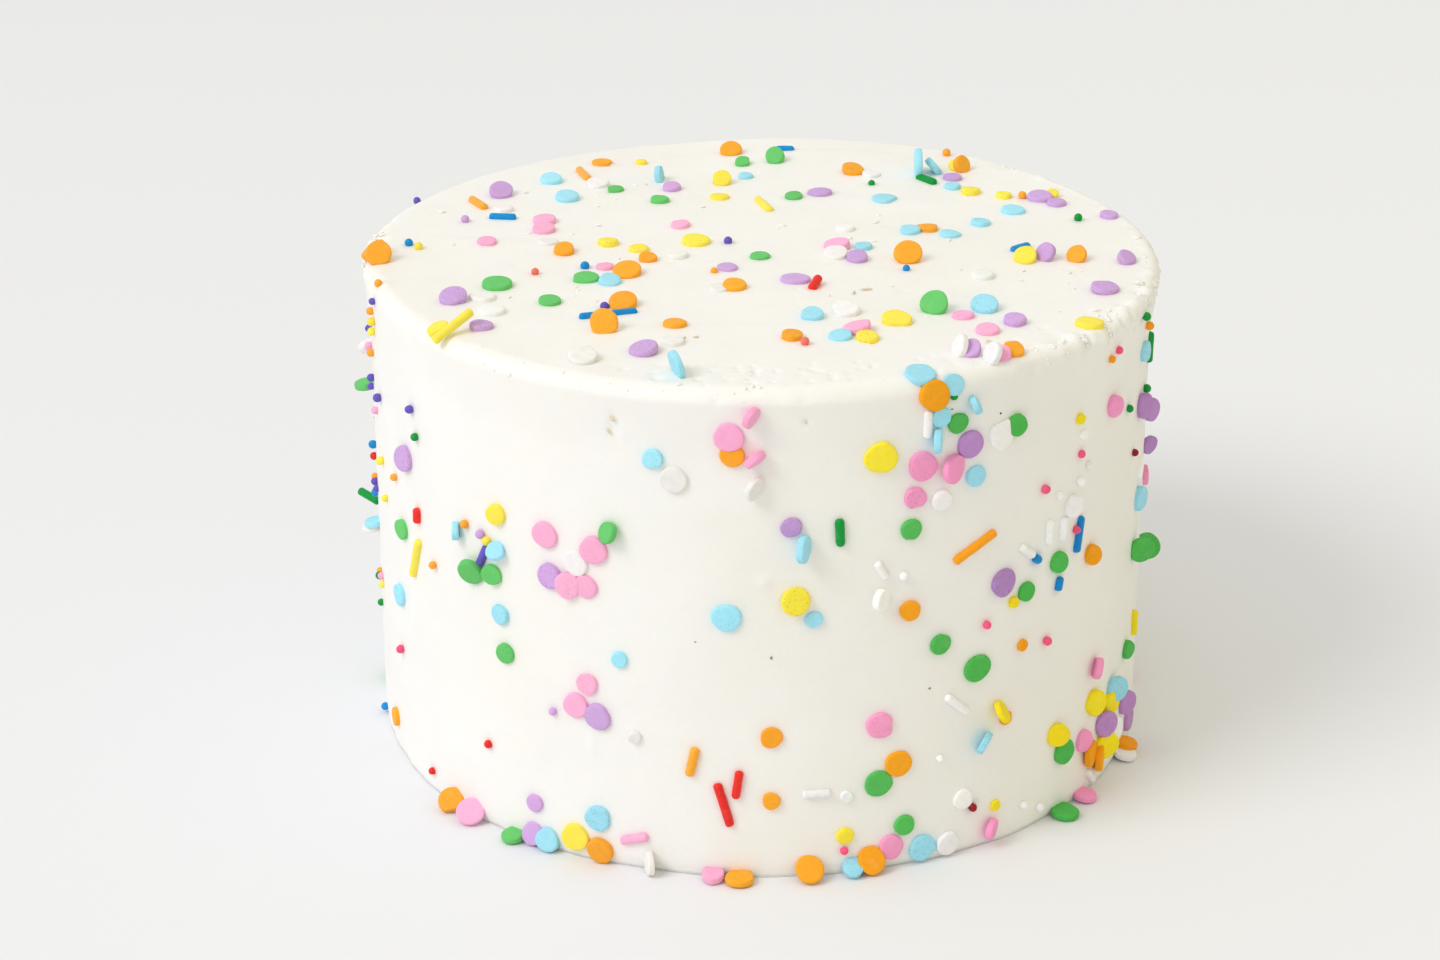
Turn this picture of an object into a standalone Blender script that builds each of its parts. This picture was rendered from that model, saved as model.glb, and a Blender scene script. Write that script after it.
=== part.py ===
# A tall round birthday cake, frosted smooth in off-white buttercream and scattered with sugar sprinkles:
# flat round confetti and short rods. The whole cake is one closed solid, with its origin in the middle of
# its flat foot, +Z up and the side that is seen at -Y. Metres.

import math
import random

import bmesh
import bpy
from mathutils import Matrix, Vector

MM = 0.001

# The frosted body
CAKE_RADIUS = 83.0 * MM
CAKE_HEIGHT = 105.0 * MM
RIM_ROUNDING = 3.5 * MM
LIP_FLARE = 1.0 * MM
LIP_DEPTH = 16.0 * MM
SIDE_SEGMENTS = 48
SIDE_LEVELS = (0.0, 0.45, 0.86, 1.0)
RIM_LEVELS = 2
TOP_RINGS = (0.74, 0.44, 0.20)

# The spatula leaves the frosting a little uneven: (waves round the cake, height of the wave in mm, phase)
SIDE_WAVES = ((2, 0.25, 0.6), (3, 0.20, 2.1), (5, 0.12, 4.0))
LIP_WAVES = ((4, 0.45, 2.8), (7, 0.15, 1.2))
# Soft swells of the top: (x, y, height, radius) in mm
TOP_SWELLS = (
    (28.0, 62.0, 0.9, 26.0), (-22.0, 66.0, -0.7, 24.0), (-10.0, -40.0, 0.3, 30.0), (55.0, -30.0, -0.3, 26.0),
)

# The sprinkles
CONFETTI_THICKNESS = 1.5 * MM
ROD_DIAMETER = 1.85 * MM
SUNK = 0.7 * MM
SUNK_ON_EDGE = 1.0 * MM
SMALLEST_FUSED_CONFETTI = 4.0 * MM
SHORTEST_FUSED_ROD = 4.5 * MM
LARGE_CONFETTI = 5.0 * MM
LARGE_SIDES = 7
SMALL_SIDES = 6
ROD_SIDES = 5
FOOT_CLEARANCE = 0.15 * MM

# Confetti on the top: (right, back, width) in mm, then, where it stands or leans, by how many degrees and
# which way its face turns, counted from the right (0) through the back (90). -90 is towards the front.
TOP_CONFETTI = {
    "orange": (
        (-81.3, -2.5, 5.8, 20, 180), (-79.9, -7.6, 5.6, 50, -80), (-35.7, 63.0, 4.6),
        (-41.3, -2.3, 4.4, 18, -90), (-27.6, -17.0, 6.0, 18, -90), (-23.5, -7.5, 3.9, 14, -90),
        (-6.1, 70.0, 5.0, 28, -90), (-27.8, -37.0, 5.8, 22, -90), (-31.1, -51.3, 5.7, 55, -90),
        (-17.2, -48.3, 4.8, 3, 90), (-5.4, -25.8, 4.9, 12, -90), (6.0, -54.8, 4.3, 5, -45),
        (21.5, 52.5, 5.0, 15, -45), (46.2, 54.5, 4.4, 60, -45), (36.2, 13.2, 4.8),
        (31.0, -7.5, 5.8, 45, -90), (66.4, -7.3, 4.3, 50, -120), (48.6, -63.8, 4.3, 30, -60),
    ),
    "pink": (
        (-58.0, 4.0, 4.3, 5, -90), (-46.5, 18.8, 5.0, 6, -90), (-46.4, 12.4, 5.0, 8, -90),
        (-32.2, -12.6, 3.8), (-17.0, 15.8, 4.3), (16.4, 1.0, 5.6, 10, -160), (40.3, -42.0, 4.5),
        (44.6, -51.0, 4.9, 6, -90), (19.0, -50.8, 5.9, 14, 165), (46.3, -66.0, 3.8, 30, -120),
    ),
    "yellow": (
        (-32.2, 3.6, 4.4, 4, 90), (-25.6, -0.5, 4.3), (-13.5, 4.0, 5.7, 8, -70), (-26.7, 63.5, 2.7),
        (-8.1, 46.8, 4.3, 40, -90), (-8.6, 35.8, 4.2), (-64.0, -49.5, 4.4, 6, 160),
        (45.0, 55.5, 3.5, 30, -120), (47.2, 38.8, 4.4, 6, 60), (54.4, 36.0, 3.4, 4, 45),
        (55.6, -7.5, 4.9, 30, -100), (20.7, -55.8, 4.5, 8, -90), (26.9, -46.0, 6.0, 12, -80),
        (65.2, -46.8, 5.8, 4, 45), (65.3, 36.5, 2.6, 30, -90),
    ),
    "sky": (
        (-46.6, 48.5, 5.0, 10, -90), (-42.4, 35.2, 5.2, 10, -75), (-31.0, -22.5, 4.7, 16, -60),
        (-22.3, 50.0, 4.2, 80, -10), (-2.8, 51.2, 3.3), (-16.4, -75.0, 6.2, 105, -160), (27.8, 33.0, 5.7),
        (36.2, 51.0, 7.0, 90, 0), (39.8, 52.5, 4.6, 50, 10), (43.4, 42.0, 3.6), (55.6, 25.8, 5.2),
        (48.0, 17.2, 4.3), (32.4, 11.2, 4.3, 8, -90), (40.9, 9.2, 4.4), (22.0, 0.8, 3.8),
        (45.0, -37.5, 5.6, 22, -90), (10.2, -43.2, 4.5, 14, -90), (15.5, -54.6, 4.7), (30.0, -75.2, 6.2),
        (36.3, -75.0, 4.5),
    ),
    "green": (
        (-32.0, 41.8, 3.8), (-21.9, 34.0, 4.2), (-3.4, 61.5, 3.6, 18, -90), (4.0, 62.8, 4.5, 45, -110),
        (7.8, 35.0, 4.0, 6, -90), (0.0, -5.6, 4.3), (-36.0, -20.0, 5.7, 4, -90),
        (-54.0, -23.8, 6.2, 6, -80), (-42.7, -34.0, 4.6, 5, -80), (34.8, -38.5, 5.8, 38, -105),
    ),
    "lilac": (
        (-57.2, 37.8, 5.3, 28, -65), (-19.4, 42.8, 4.2, 10, -90), (-6.8, -13.3, 4.5), (13.6, 37.8, 5.6),
        (7.2, -20.6, 6.0), (-62.3, -33.0, 5.8, 20, -100), (-55.6, -48.5, 4.7, 4, 0),
        (-23.0, -63.0, 6.1, 12, -160), (43.8, 48.5, 4.2), (62.3, 34.8, 5.6, 6, -90), (65.6, 31.0, 4.4),
        (76.3, 22.0, 4.0, 4, -45), (76.7, -8.5, 4.2, 30, -40), (70.4, -25.8, 6.0, 8, -20),
        (59.9, -6.5, 4.6, 58, -140), (20.4, -7.2, 4.5, 16, -90), (50.5, -46.0, 4.6, 14, -90),
        (40.2, -64.2, 4.6, 35, -120),
    ),
    "white": (
        (-45.0, 4.0, 4.5), (-36.0, 45.5, 5.0, 10, -90), (25.5, 50.0, 4.2), (18.5, 13.0, 4.2),
        (16.0, -5.0, 5.0, 16, -90), (-17.4, -5.0, 4.6), (-56.6, -31.0, 5.6), (-54.0, -39.5, 5.4),
        (-8.5, -26.5, 4.2), (16.9, -40.5, 5.4, 16, -90), (-34.6, -67.5, 5.6, 20, -90),
        (-17.5, -58.0, 4.9), (38.3, -64.0, 4.8, 70, -160), (44.2, -67.5, 4.8, 70, -155),
        (46.0, -17.0, 5.0), (-56.0, 27.0, 4.4),
    ),
}

# Confetti on the side: (degrees round from the front, right positive; height in mm; width in mm), then,
# where it leans, by how many degrees and which way its face turns: 0 is right, 90 is up.
SIDE_CONFETTI = {
    "orange": (
        (22.9, 101.6, 6.2, 10, 90), (-4.0, 91.6, 4.7), (1.3, 31.7, 4.4), (1.3, 17.6, 3.6),
        (19.0, 23.6, 5.7), (20.3, 56.8, 4.2), (53.6, 56.2, 4.3, 25, 180), (38.9, 43.0, 2.5),
        (36.3, 27.9, 3.0), (-49.8, 2.4, 5.6, 55, 60), (-22.9, 2.8, 5.6, 10, -60), (6.5, 2.3, 5.8, 45, 90),
        (15.2, 2.9, 5.8, 25, 90), (-3.0, 1.1, 5.8, 88, 90), (55.8, 9.6, 5.8, 15, 0),
        (58.6, 6.6, 5.6, 20, 0), (70.0, 2.4, 4.6, 70, 90), (-71.5, 7.8, 4.2),
    ),
    "pink": (
        (-1.5, 100.2, 4.4, 62, -25), (-4.4, 95.5, 5.9), (-1.0, 91.3, 4.5, 65, -50),
        (-30.6, 70.3, 5.4, 8, 0), (-23.1, 69.2, 5.7, 6, 0), (-27.0, 60.7, 5.4, 15, 0), (-24.4, 61.0, 4.9),
        (-24.5, 39.8, 4.6), (-26.3, 34.6, 5.3, 5, 0), (16.3, 32.7, 5.7), (21.7, 87.0, 6.0),
        (26.0, 85.7, 5.8, 24, 0), (20.7, 80.6, 4.6), (58.6, 86.2, 4.8, 15, 180),
        (56.3, 29.1, 4.6, 38, -20), (53.8, 13.6, 4.8, 10, 180), (-45.2, 2.2, 5.9, 60, 55),
        (-6.6, 1.2, 4.6, 80, 90), (18.2, 5.0, 5.3), (33.9, 3.9, 4.6, 35, -15), (53.7, 1.2, 4.8, 80, 90),
        (84.5, 56.5, 4.4, 8, 0),
    ),
    "yellow": (
        (-39.0, 71.6, 4.3, 18, 0), (15.7, 90.0, 6.4, 6, 180), (4.4, 61.3, 5.7, 20, 60),
        (-26.8, 4.7, 6.0, 5, 0), (11.5, 8.9, 3.6), (37.0, 53.3, 2.5), (49.3, 87.7, 2.2, 15, 180),
        (34.9, 30.4, 4.8, 55, 40), (34.8, 8.7, 2.3), (56.6, 20.8, 6.0, 14, 180),
        (62.5, 17.0, 5.6, 10, 180), (46.8, 19.0, 5.2, 20, 180), (60.2, 8.8, 6.0, 30, 180),
    ),
    "sky": (
        (-14.6, 89.9, 4.2), (5.3, 72.7, 5.6, 65, 0), (-4.8, 57.6, 5.8), (6.9, 57.0, 3.5),
        (-19.6, 46.5, 3.3, 5, 0), (29.0, 98.2, 3.8, 65, 30), (24.1, 96.7, 4.2), (23.4, 92.3, 4.8, 60, 0),
        (29.8, 82.9, 4.4), (73.8, 57.5, 5.4, 14, 180), (32.0, 24.5, 4.9, 48, -35),
        (63.5, 19.9, 5.6, 30, 180), (-38.9, 63.9, 4.1, 50, 75), (-38.9, 49.8, 4.2, 5, 180),
        (-66.0, 40.0, 4.6, 5, 0), (-47.2, 64.5, 3.8, 43, 180), (-31.2, 2.5, 5.0, 25, 60),
        (-23.2, 10.2, 5.5, 4, 0), (12.6, 1.9, 4.4, 50, 90), (23.0, 3.4, 6.0), (-83.5, 46.2, 4.0, 80, 90),
        (72.0, 91.4, 4.6, 8, 180),
    ),
    "green": (
        (-43.9, 57.3, 5.8, 30, -50), (-40.1, 58.2, 4.4, 20, 0), (-38.1, 41.6, 4.3, 6, 0),
        (-20.8, 73.7, 4.5, 40, 150), (-63.8, 56.2, 4.4, 8, 0), (16.2, 19.8, 5.8), (26.7, 94.8, 4.3),
        (36.2, 91.6, 4.5, 15, 180), (20.2, 74.1, 4.4), (39.3, 54.7, 4.2), (45.7, 58.3, 4.7, 6, 180),
        (25.0, 48.3, 4.4), (31.0, 41.1, 6.0), (20.1, 9.5, 4.4), (48.6, 14.2, 5.6, 8, 180),
        (69.8, 24.9, 4.2, 16, 180), (72.5, 46.6, 5.8, 48, 180), (89.5, 36.6, 6.2, 85, 180),
        (-37.0, 1.0, 4.8, 80, 90), (48.0, 1.0, 6.0, 86, 90), (-85.0, 77.3, 4.8, 80, 90),
    ),
    "lilac": (
        (3.8, 76.7, 4.1), (28.8, 89.8, 5.8), (35.0, 58.3, 5.9), (-30.0, 61.6, 5.4, 8, 180),
        (-23.0, 33.0, 5.6), (-33.5, 9.8, 3.8, 5, 0), (-33.8, 2.4, 5.0, 15, 60), (-61.6, 73.2, 5.6, 12, 0),
        (72.0, 79.4, 5.6, 18, 180), (82.0, 73.0, 5.2, 30, 180), (82.0, 65.0, 4.0, 40, 180),
        (59.8, 14.0, 5.8, 28, 180), (69.5, 12.6, 5.4, 25, 180), (73.5, 5.8, 5.6, 5, 180),
    ),
    "white": (
        (-11.8, 86.0, 5.4), (-1.1, 85.3, 5.0, 55, -20), (-26.0, 65.5, 5.5), (24.6, 79.2, 4.4),
        (33.9, 90.4, 6.2), (50.4, 83.8, 2.2), (48.4, 69.3, 4.8, 12, 180), (15.9, 60.3, 4.5, 40, 0),
        (-17.6, 30.0, 2.6, 20, 0), (11.7, 17.7, 2.6), (29.2, 12.4, 4.5), (26.9, 3.1, 5.2),
        (-84.5, 44.6, 4.6, 75, 90), (-15.4, 2.6, 5.0, 60, 180), (-84.0, 86.5, 4.0, 60, 90),
        (74.5, 64.0, 5.2), (64.5, 9.5, 6.0, 10, 180), (68.5, 1.2, 5.0, 82, 90),
    ),
}

# Rods on the top: (right, back, length) in mm, then the way it points from the right and its rise, degrees
TOP_RODS = {
    "orange": ((-61.8, 31.0, 7.6, -62, 0), (-39.5, 53.5, 8.2, -72, 0)),
    "blue": (
        (-55.8, 21.3, 6.0, -6, 0), (6.3, 71.0, 4.6, -3, 0), (55.2, 0.0, 5.2, 40, 0),
        (-30.6, -42.3, 12.0, 16, 0),
    ),
    "yellow": ((1.1, 29.8, 8.8, -72, 0), (-60.8, -52.3, 10.4, 42, 20)),
    "leaf": ((37.8, 46.5, 6.2, -52, 0),),
    "red": ((11.2, -24.3, 4.6, 68, 14),),
}

# Rods on the side: (degrees round, height, length in mm), the way it points (0 right, 90 up) and its rise
SIDE_RODS = {
    "leaf": ((10.3, 75.1, 5.8, 93, 0), (-86.0, 50.8, 6.0, 165, 45), (78.0, 89.2, 6.8, 88, 0)),
    "orange": ((30.0, 67.8, 10.5, 25, 0), (-9.5, 25.8, 6.4, 78, 0)),
    "white": (
        (22.2, 95.7, 5.8, 90, 0), (16.1, 66.3, 4.2, -60, 0), (43.5, 65.8, 5.4, 88, 0),
        (46.4, 65.2, 5.0, 85, 0), (39.2, 63.5, 4.6, -38, 0), (7.5, 18.8, 5.8, 0, 0),
        (27.8, 34.2, 7.0, -42, 0), (56.5, 3.6, 4.8, 130, 0),
    ),
    "blue": ((50.2, 62.3, 7.8, 80, 0), (41.1, 61.1, 2.2, -38, 0), (46.0, 53.4, 3.0, 78, 0)),
    "red": ((-3.3, 21.2, 6.2, 82, 0), (-5.2, 16.6, 9.8, 106, 0), (-58.2, 62.3, 3.4, 88, 0)),
    "pink": ((-17.8, 7.0, 6.1, 18, 0),),
    "yellow": ((75.2, 27.7, 5.8, 90, 0), (-59.2, 52.3, 10.0, 69, 0)),
    "indigo": ((-42.0, 61.4, 5.6, 62, 0),),
}

# The far side, which isn't seen, has sprinkles of the same kinds, spread by a rule
BACK_SEED = 11
BACK_CONFETTI = 66
BACK_FOOT_CONFETTI = 15
BACK_RODS = 14
BACK_FROM = 96.0
BACK_TO = 264.0
BACK_LOW = 8.0
BACK_HIGH = 99.0
CANDIDATES = 12
CONFETTI_COLOURS = ("orange", "sky", "pink", "lilac", "yellow", "green", "white")
ROD_COLOURS = ("orange", "white", "red", "blue", "leaf", "yellow", "pink", "indigo")
CONFETTI_WIDTHS = (4.1, 4.3, 4.6, 5.3, 5.6, 5.9)
ROD_LENGTHS = (4.8, 5.6, 6.4, 7.4, 8.6)

# Finish: base colour, roughness
FINISHES = {
    "frosting": ((0.90, 0.87, 0.78), 0.50),
    "orange": ((0.95, 0.36, 0.03), 0.45),
    "pink": ((0.93, 0.33, 0.52), 0.45),
    "yellow": ((0.94, 0.74, 0.06), 0.45),
    "sky": ((0.33, 0.69, 0.82), 0.45),
    "green": ((0.12, 0.47, 0.13), 0.45),
    "lilac": ((0.49, 0.27, 0.58), 0.45),
    "white": ((0.88, 0.87, 0.83), 0.45),
    "blue": ((0.01, 0.25, 0.60), 0.40),
    "leaf": ((0.01, 0.27, 0.06), 0.40),
    "red": ((0.75, 0.04, 0.03), 0.40),
    "indigo": ((0.12, 0.08, 0.42), 0.40),
}

CAKE_NAME = "frosted_cake"


def clear_scene():
    for thing in list(bpy.data.objects):
        bpy.data.objects.remove(thing, do_unlink=True)


def make_material(name):
    colour, roughness = FINISHES[name]
    material = bpy.data.materials.new(name)
    material.use_nodes = True
    shader = material.node_tree.nodes["Principled BSDF"]
    shader.inputs["Base Color"].default_value = (*colour, 1.0)
    shader.inputs["Roughness"].default_value = roughness
    shader.inputs["Metallic"].default_value = 0.0
    material.diffuse_color = (*colour, 1.0)
    return material


# The frosted body

def smooth(t):
    t = min(max(t, 0.0), 1.0)
    return t * t * (3.0 - 2.0 * t)


def waves(terms, turn):
    return sum(height * MM * math.sin(count * turn + phase) for count, height, phase in terms)


def side_radius(turn, height):
    """How far the side stands from the axis, under the rounding of the rim."""
    lip = smooth((height - (CAKE_HEIGHT - LIP_DEPTH)) / LIP_DEPTH)
    return CAKE_RADIUS + waves(SIDE_WAVES, turn) + lip * (LIP_FLARE + waves(LIP_WAVES, turn))


def top_height(x, y):
    swell = 0.0
    for right, back, height, radius in TOP_SWELLS:
        distance = math.hypot(x - right * MM, y - back * MM) / (radius * MM)
        swell += height * MM * math.exp(-distance * distance)
    return CAKE_HEIGHT + swell


def outward(turn):
    """The level direction at a turn round the cake, counted from the front towards the right."""
    return Vector((math.sin(turn), -math.cos(turn), 0.0))


def rim_point(turn, angle):
    """A point on the rounding between side and top: angle 0 is the side and a quarter turn the top."""
    full = side_radius(turn, CAKE_HEIGHT)
    edge = outward(turn) * (full - RIM_ROUNDING + RIM_ROUNDING * math.cos(angle))
    centre_height = top_height(edge.x, edge.y) - RIM_ROUNDING
    return Vector((edge.x, edge.y, centre_height + RIM_ROUNDING * math.sin(angle)))


def body_rings():
    """The rings of the turned body, from the foot up and over the rim."""
    turns = [2.0 * math.pi * i / SIDE_SEGMENTS for i in range(SIDE_SEGMENTS)]
    shoulder = CAKE_HEIGHT - RIM_ROUNDING
    rings = []
    for part in SIDE_LEVELS:
        ring = []
        for turn in turns:
            height = part * rim_point(turn, 0.0).z
            radius = side_radius(turn, height / rim_point(turn, 0.0).z * shoulder)
            ring.append(outward(turn) * radius + Vector((0.0, 0.0, height)))
        rings.append(ring)
    for level in range(1, RIM_LEVELS + 1):
        angle = 0.5 * math.pi * level / RIM_LEVELS
        rings.append([rim_point(turn, angle) for turn in turns])
    return rings


def top_rings():
    """The rings inside the rim, each with half as many points as the one outside it."""
    rings = []
    count = SIDE_SEGMENTS
    for part in TOP_RINGS:
        count //= 2
        ring = []
        for i in range(count):
            turn = 2.0 * math.pi * i / count
            spot = outward(turn) * (side_radius(turn, CAKE_HEIGHT) - RIM_ROUNDING) * part
            ring.append(Vector((spot.x, spot.y, top_height(spot.x, spot.y))))
        rings.append(ring)
    return rings


def make_body():
    mesh = bpy.data.meshes.new(CAKE_NAME)
    bm = bmesh.new()
    rings = [[bm.verts.new(point) for point in ring] for ring in body_rings()]
    for lower, upper in zip(rings, rings[1:]):
        for i in range(SIDE_SEGMENTS):
            j = (i + 1) % SIDE_SEGMENTS
            bm.faces.new((lower[i], lower[j], upper[j], upper[i]))
    bm.faces.new(list(reversed(rings[0])))
    outer = rings[-1]
    for inner in ([bm.verts.new(point) for point in ring] for ring in top_rings()):
        for i, vert in enumerate(inner):
            following = inner[(i + 1) % len(inner)]
            between = outer[2 * i + 1]
            bm.faces.new((outer[2 * i], between, vert))
            bm.faces.new((between, following, vert))
            bm.faces.new((between, outer[(2 * i + 2) % len(outer)], following))
        outer = inner
    middle = bm.verts.new((0.0, 0.0, top_height(0.0, 0.0)))
    for i, vert in enumerate(outer):
        bm.faces.new((vert, outer[(i + 1) % len(outer)], middle))
    bmesh.ops.triangulate(bm, faces=bm.faces)
    bmesh.ops.recalc_face_normals(bm, faces=bm.faces)
    bm.to_mesh(mesh)
    bm.free()
    body = bpy.data.objects.new(CAKE_NAME, mesh)
    bpy.context.scene.collection.objects.link(body)
    body.data.materials.append(make_material("frosting"))
    return body


# Where sprinkles lie. A frame is a point of the frosting with its outward normal and two directions along
# the surface: to the right, and up the side or back across the top.

def top_frame(right, back):
    x = right * MM
    y = back * MM
    turn = math.atan2(x, -y)
    flat = side_radius(turn, CAKE_HEIGHT) - RIM_ROUNDING
    reach = math.hypot(x, y)
    if reach <= flat:
        return Vector((x, y, top_height(x, y))), Vector((0, 0, 1)), Vector((1, 0, 0)), Vector((0, 1, 0))
    angle = math.acos(min((reach - flat) / RIM_ROUNDING, 1.0))
    normal = outward(turn) * math.cos(angle) + Vector((0, 0, math.sin(angle)))
    along = Vector((0, 1, 0)).cross(normal).normalized()
    return rim_point(turn, angle), normal, along, normal.cross(along)


def side_frame(degrees_round, height_mm):
    turn = math.radians(degrees_round)
    height = height_mm * MM
    angle = 0.0
    point = outward(turn) * side_radius(turn, height) + Vector((0, 0, height))
    if height > CAKE_HEIGHT - RIM_ROUNDING:
        angle = math.asin(min((height - CAKE_HEIGHT + RIM_ROUNDING) / RIM_ROUNDING, 1.0))
        point = rim_point(turn, angle)
    normal = outward(turn) * math.cos(angle) + Vector((0, 0, math.sin(angle)))
    along = Vector((math.cos(turn), math.sin(turn), 0.0))
    return point, normal, along, normal.cross(along)


def back_places(chooser, count, low, high):
    """Places on the far side, each the one of several candidates that is furthest from the rest."""
    chosen = []
    for _ in range(count):
        best = None
        best_gap = -1.0
        for _ in range(CANDIDATES):
            spot = (chooser.uniform(BACK_FROM, BACK_TO), chooser.uniform(low, high))
            gap = min((math.hypot((spot[0] - a) * math.radians(1) * CAKE_RADIUS / MM, spot[1] - h)
                       for a, h in chosen), default=0.0)
            if gap > best_gap:
                best_gap = gap
                best = spot
        chosen.append(best)
    return chosen


def back_sprinkles():
    """Confetti and rods of the far side, in the same form as the hand-placed ones."""
    chooser = random.Random(BACK_SEED)
    confetti = []
    rods = []
    for turn, height in back_places(chooser, BACK_CONFETTI, BACK_LOW, BACK_HIGH):
        lean = chooser.choice((0, 0, 0, 0, 15, 30, 55))
        width = chooser.choice(CONFETTI_WIDTHS)
        colour = chooser.choice(CONFETTI_COLOURS)
        confetti.append((colour, (turn, height, width, lean, chooser.uniform(0, 360))))
    for turn, _ in back_places(chooser, BACK_FOOT_CONFETTI, 0.0, 1.0):
        width = chooser.choice(CONFETTI_WIDTHS)
        height = 0.5 * width + 0.4
        confetti.append((chooser.choice(CONFETTI_COLOURS), (turn, height, width, 10, 90)))
    for turn, height in back_places(chooser, BACK_RODS, BACK_LOW, BACK_HIGH):
        length = chooser.choice(ROD_LENGTHS)
        rods.append((chooser.choice(ROD_COLOURS), (turn, height, length, chooser.uniform(0, 180), 0)))
    return confetti, rods


def placed(table, frame_of):
    return [(colour, frame_of, row) for colour, rows in table.items() for row in rows]


def all_confetti():
    back, _ = back_sprinkles()
    rows = placed(TOP_CONFETTI, top_frame) + placed(SIDE_CONFETTI, side_frame)
    return rows + [(colour, side_frame, row) for colour, row in back]


def all_rods():
    _, back = back_sprinkles()
    rows = placed(TOP_RODS, top_frame) + placed(SIDE_RODS, side_frame)
    return rows + [(colour, side_frame, row) for colour, row in back]


# The solids of single sprinkles

def link_sprinkle(name, bm, place, colour, group):
    mesh = bpy.data.meshes.new(name)
    bmesh.ops.transform(bm, matrix=place, verts=bm.verts)
    lowest = min(vert.co.z for vert in bm.verts)
    if lowest < FOOT_CLEARANCE:
        bmesh.ops.translate(bm, vec=(0.0, 0.0, FOOT_CLEARANCE - lowest), verts=bm.verts)
    bmesh.ops.recalc_face_normals(bm, faces=bm.faces)
    bm.to_mesh(mesh)
    bm.free()
    mesh.materials.append(colour)
    group.objects.link(bpy.data.objects.new(name, mesh))


def axes_matrix(first, second, third, origin):
    turned = Matrix((first, second, third)).transposed().to_4x4()
    turned.translation = origin
    return turned


def add_confetti(number, colour, frame_of, row, group):
    """A flat round sugar disc, laid on the frosting or leaning out of it."""
    across, up_or_back, width_mm = row[:3]
    lean, way = (math.radians(row[3]), math.radians(row[4])) if len(row) > 3 else (0.0, 0.0)
    width = width_mm * MM
    point, normal, along, beside = frame_of(across, up_or_back)
    direction = along * math.cos(way) + beside * math.sin(way)
    axis = normal * math.cos(lean) + direction * math.sin(lean)
    flat = direction * math.cos(lean) - normal * math.sin(lean)
    sunk = SUNK + (SUNK_ON_EDGE - SUNK) * math.sin(lean)
    rise = 0.5 * width * math.sin(lean) + 0.5 * CONFETTI_THICKNESS * math.cos(lean) - sunk
    place = axes_matrix(flat, axis.cross(flat), axis, point + normal * rise)
    sides = LARGE_SIDES if width >= LARGE_CONFETTI else SMALL_SIDES
    bm = bmesh.new()
    bmesh.ops.create_cone(
        bm, cap_ends=True, segments=sides, radius1=0.5 * width / math.cos(math.pi / sides),
        radius2=0.5 * width / math.cos(math.pi / sides), depth=CONFETTI_THICKNESS,
        matrix=Matrix.Rotation(0.37 + number * 1.3, 4, "Z"))
    link_sprinkle(f"confetti_{number}", bm, place, colour, group)


def add_rod(number, colour, frame_of, row, group):
    """A short sugar rod, lying on the frosting or standing out of it at one end."""
    across, up_or_back, length_mm, points, rises = row
    way = math.radians(points)
    rise = math.radians(rises)
    length = length_mm * MM
    point, normal, along, beside = frame_of(across, up_or_back)
    direction = along * math.cos(way) + beside * math.sin(way)
    axis = direction * math.cos(rise) + normal * math.sin(rise)
    upright = normal * math.cos(rise) - direction * math.sin(rise)
    lift = 0.5 * ROD_DIAMETER - SUNK + 0.5 * length * math.sin(rise) * 0.8
    place = axes_matrix(upright, axis.cross(upright), axis, point + normal * lift)
    bm = bmesh.new()
    radius = 0.5 * ROD_DIAMETER / math.cos(math.pi / ROD_SIDES)
    bmesh.ops.create_cone(
        bm, cap_ends=True, segments=ROD_SIDES, radius1=radius, radius2=radius, depth=length,
        matrix=Matrix.Rotation(0.21 + number, 4, "Z"))
    link_sprinkle(f"rod_{number}", bm, place, colour, group)


def fuse(body, group):
    """Joins the sprinkles to the frosting in one solid, and then removes their own objects."""
    union = body.modifiers.new("sprinkles", "BOOLEAN")
    union.operation = "UNION"
    union.operand_type = "COLLECTION"
    union.collection = group
    union.solver = "EXACT"
    union.material_mode = "TRANSFER"
    bpy.context.view_layer.objects.active = body
    body.select_set(True)
    bpy.ops.object.modifier_apply(modifier=union.name)
    for sprinkle in list(group.objects):
        bpy.data.objects.remove(sprinkle, do_unlink=True)
    bpy.data.collections.remove(group)


def keep_largest_shell(body):
    """Fills any hollow that the fusing sealed, and drops any loose scrap."""
    bm = bmesh.new()
    bm.from_mesh(body.data)
    bm.faces.ensure_lookup_table()
    seen = set()
    shells = []
    for start in bm.faces:
        if start.index in seen:
            continue
        seen.add(start.index)
        shell = [start]
        for face in shell:
            for edge in face.edges:
                for other in edge.link_faces:
                    if other.index not in seen:
                        seen.add(other.index)
                        shell.append(other)
        shells.append(shell)
    shells.sort(key=len)
    spare = [face for shell in shells[:-1] for face in shell]
    bmesh.ops.delete(bm, geom=spare, context="FACES")
    loose = [vert for vert in bm.verts if not vert.link_faces]
    bmesh.ops.delete(bm, geom=loose, context="VERTS")
    bmesh.ops.triangulate(bm, faces=bm.faces)
    bm.to_mesh(body.data)
    bm.free()


def build():
    clear_scene()
    body = make_body()
    group = bpy.data.collections.new("sprinkles")
    bpy.context.scene.collection.children.link(group)
    colours = {name: make_material(name) for name in FINISHES if name != "frosting"}
    for number, (colour, frame_of, row) in enumerate(all_confetti()):
        if row[2] * MM >= SMALLEST_FUSED_CONFETTI:
            add_confetti(number, colours[colour], frame_of, row, group)
    for number, (colour, frame_of, row) in enumerate(all_rods()):
        if row[2] * MM >= SHORTEST_FUSED_ROD:
            add_rod(number, colours[colour], frame_of, row, group)
    fuse(body, group)
    keep_largest_shell(body)
    body.data.shade_smooth()
    body.data.set_sharp_from_angle(angle=math.radians(30))


build()
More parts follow.
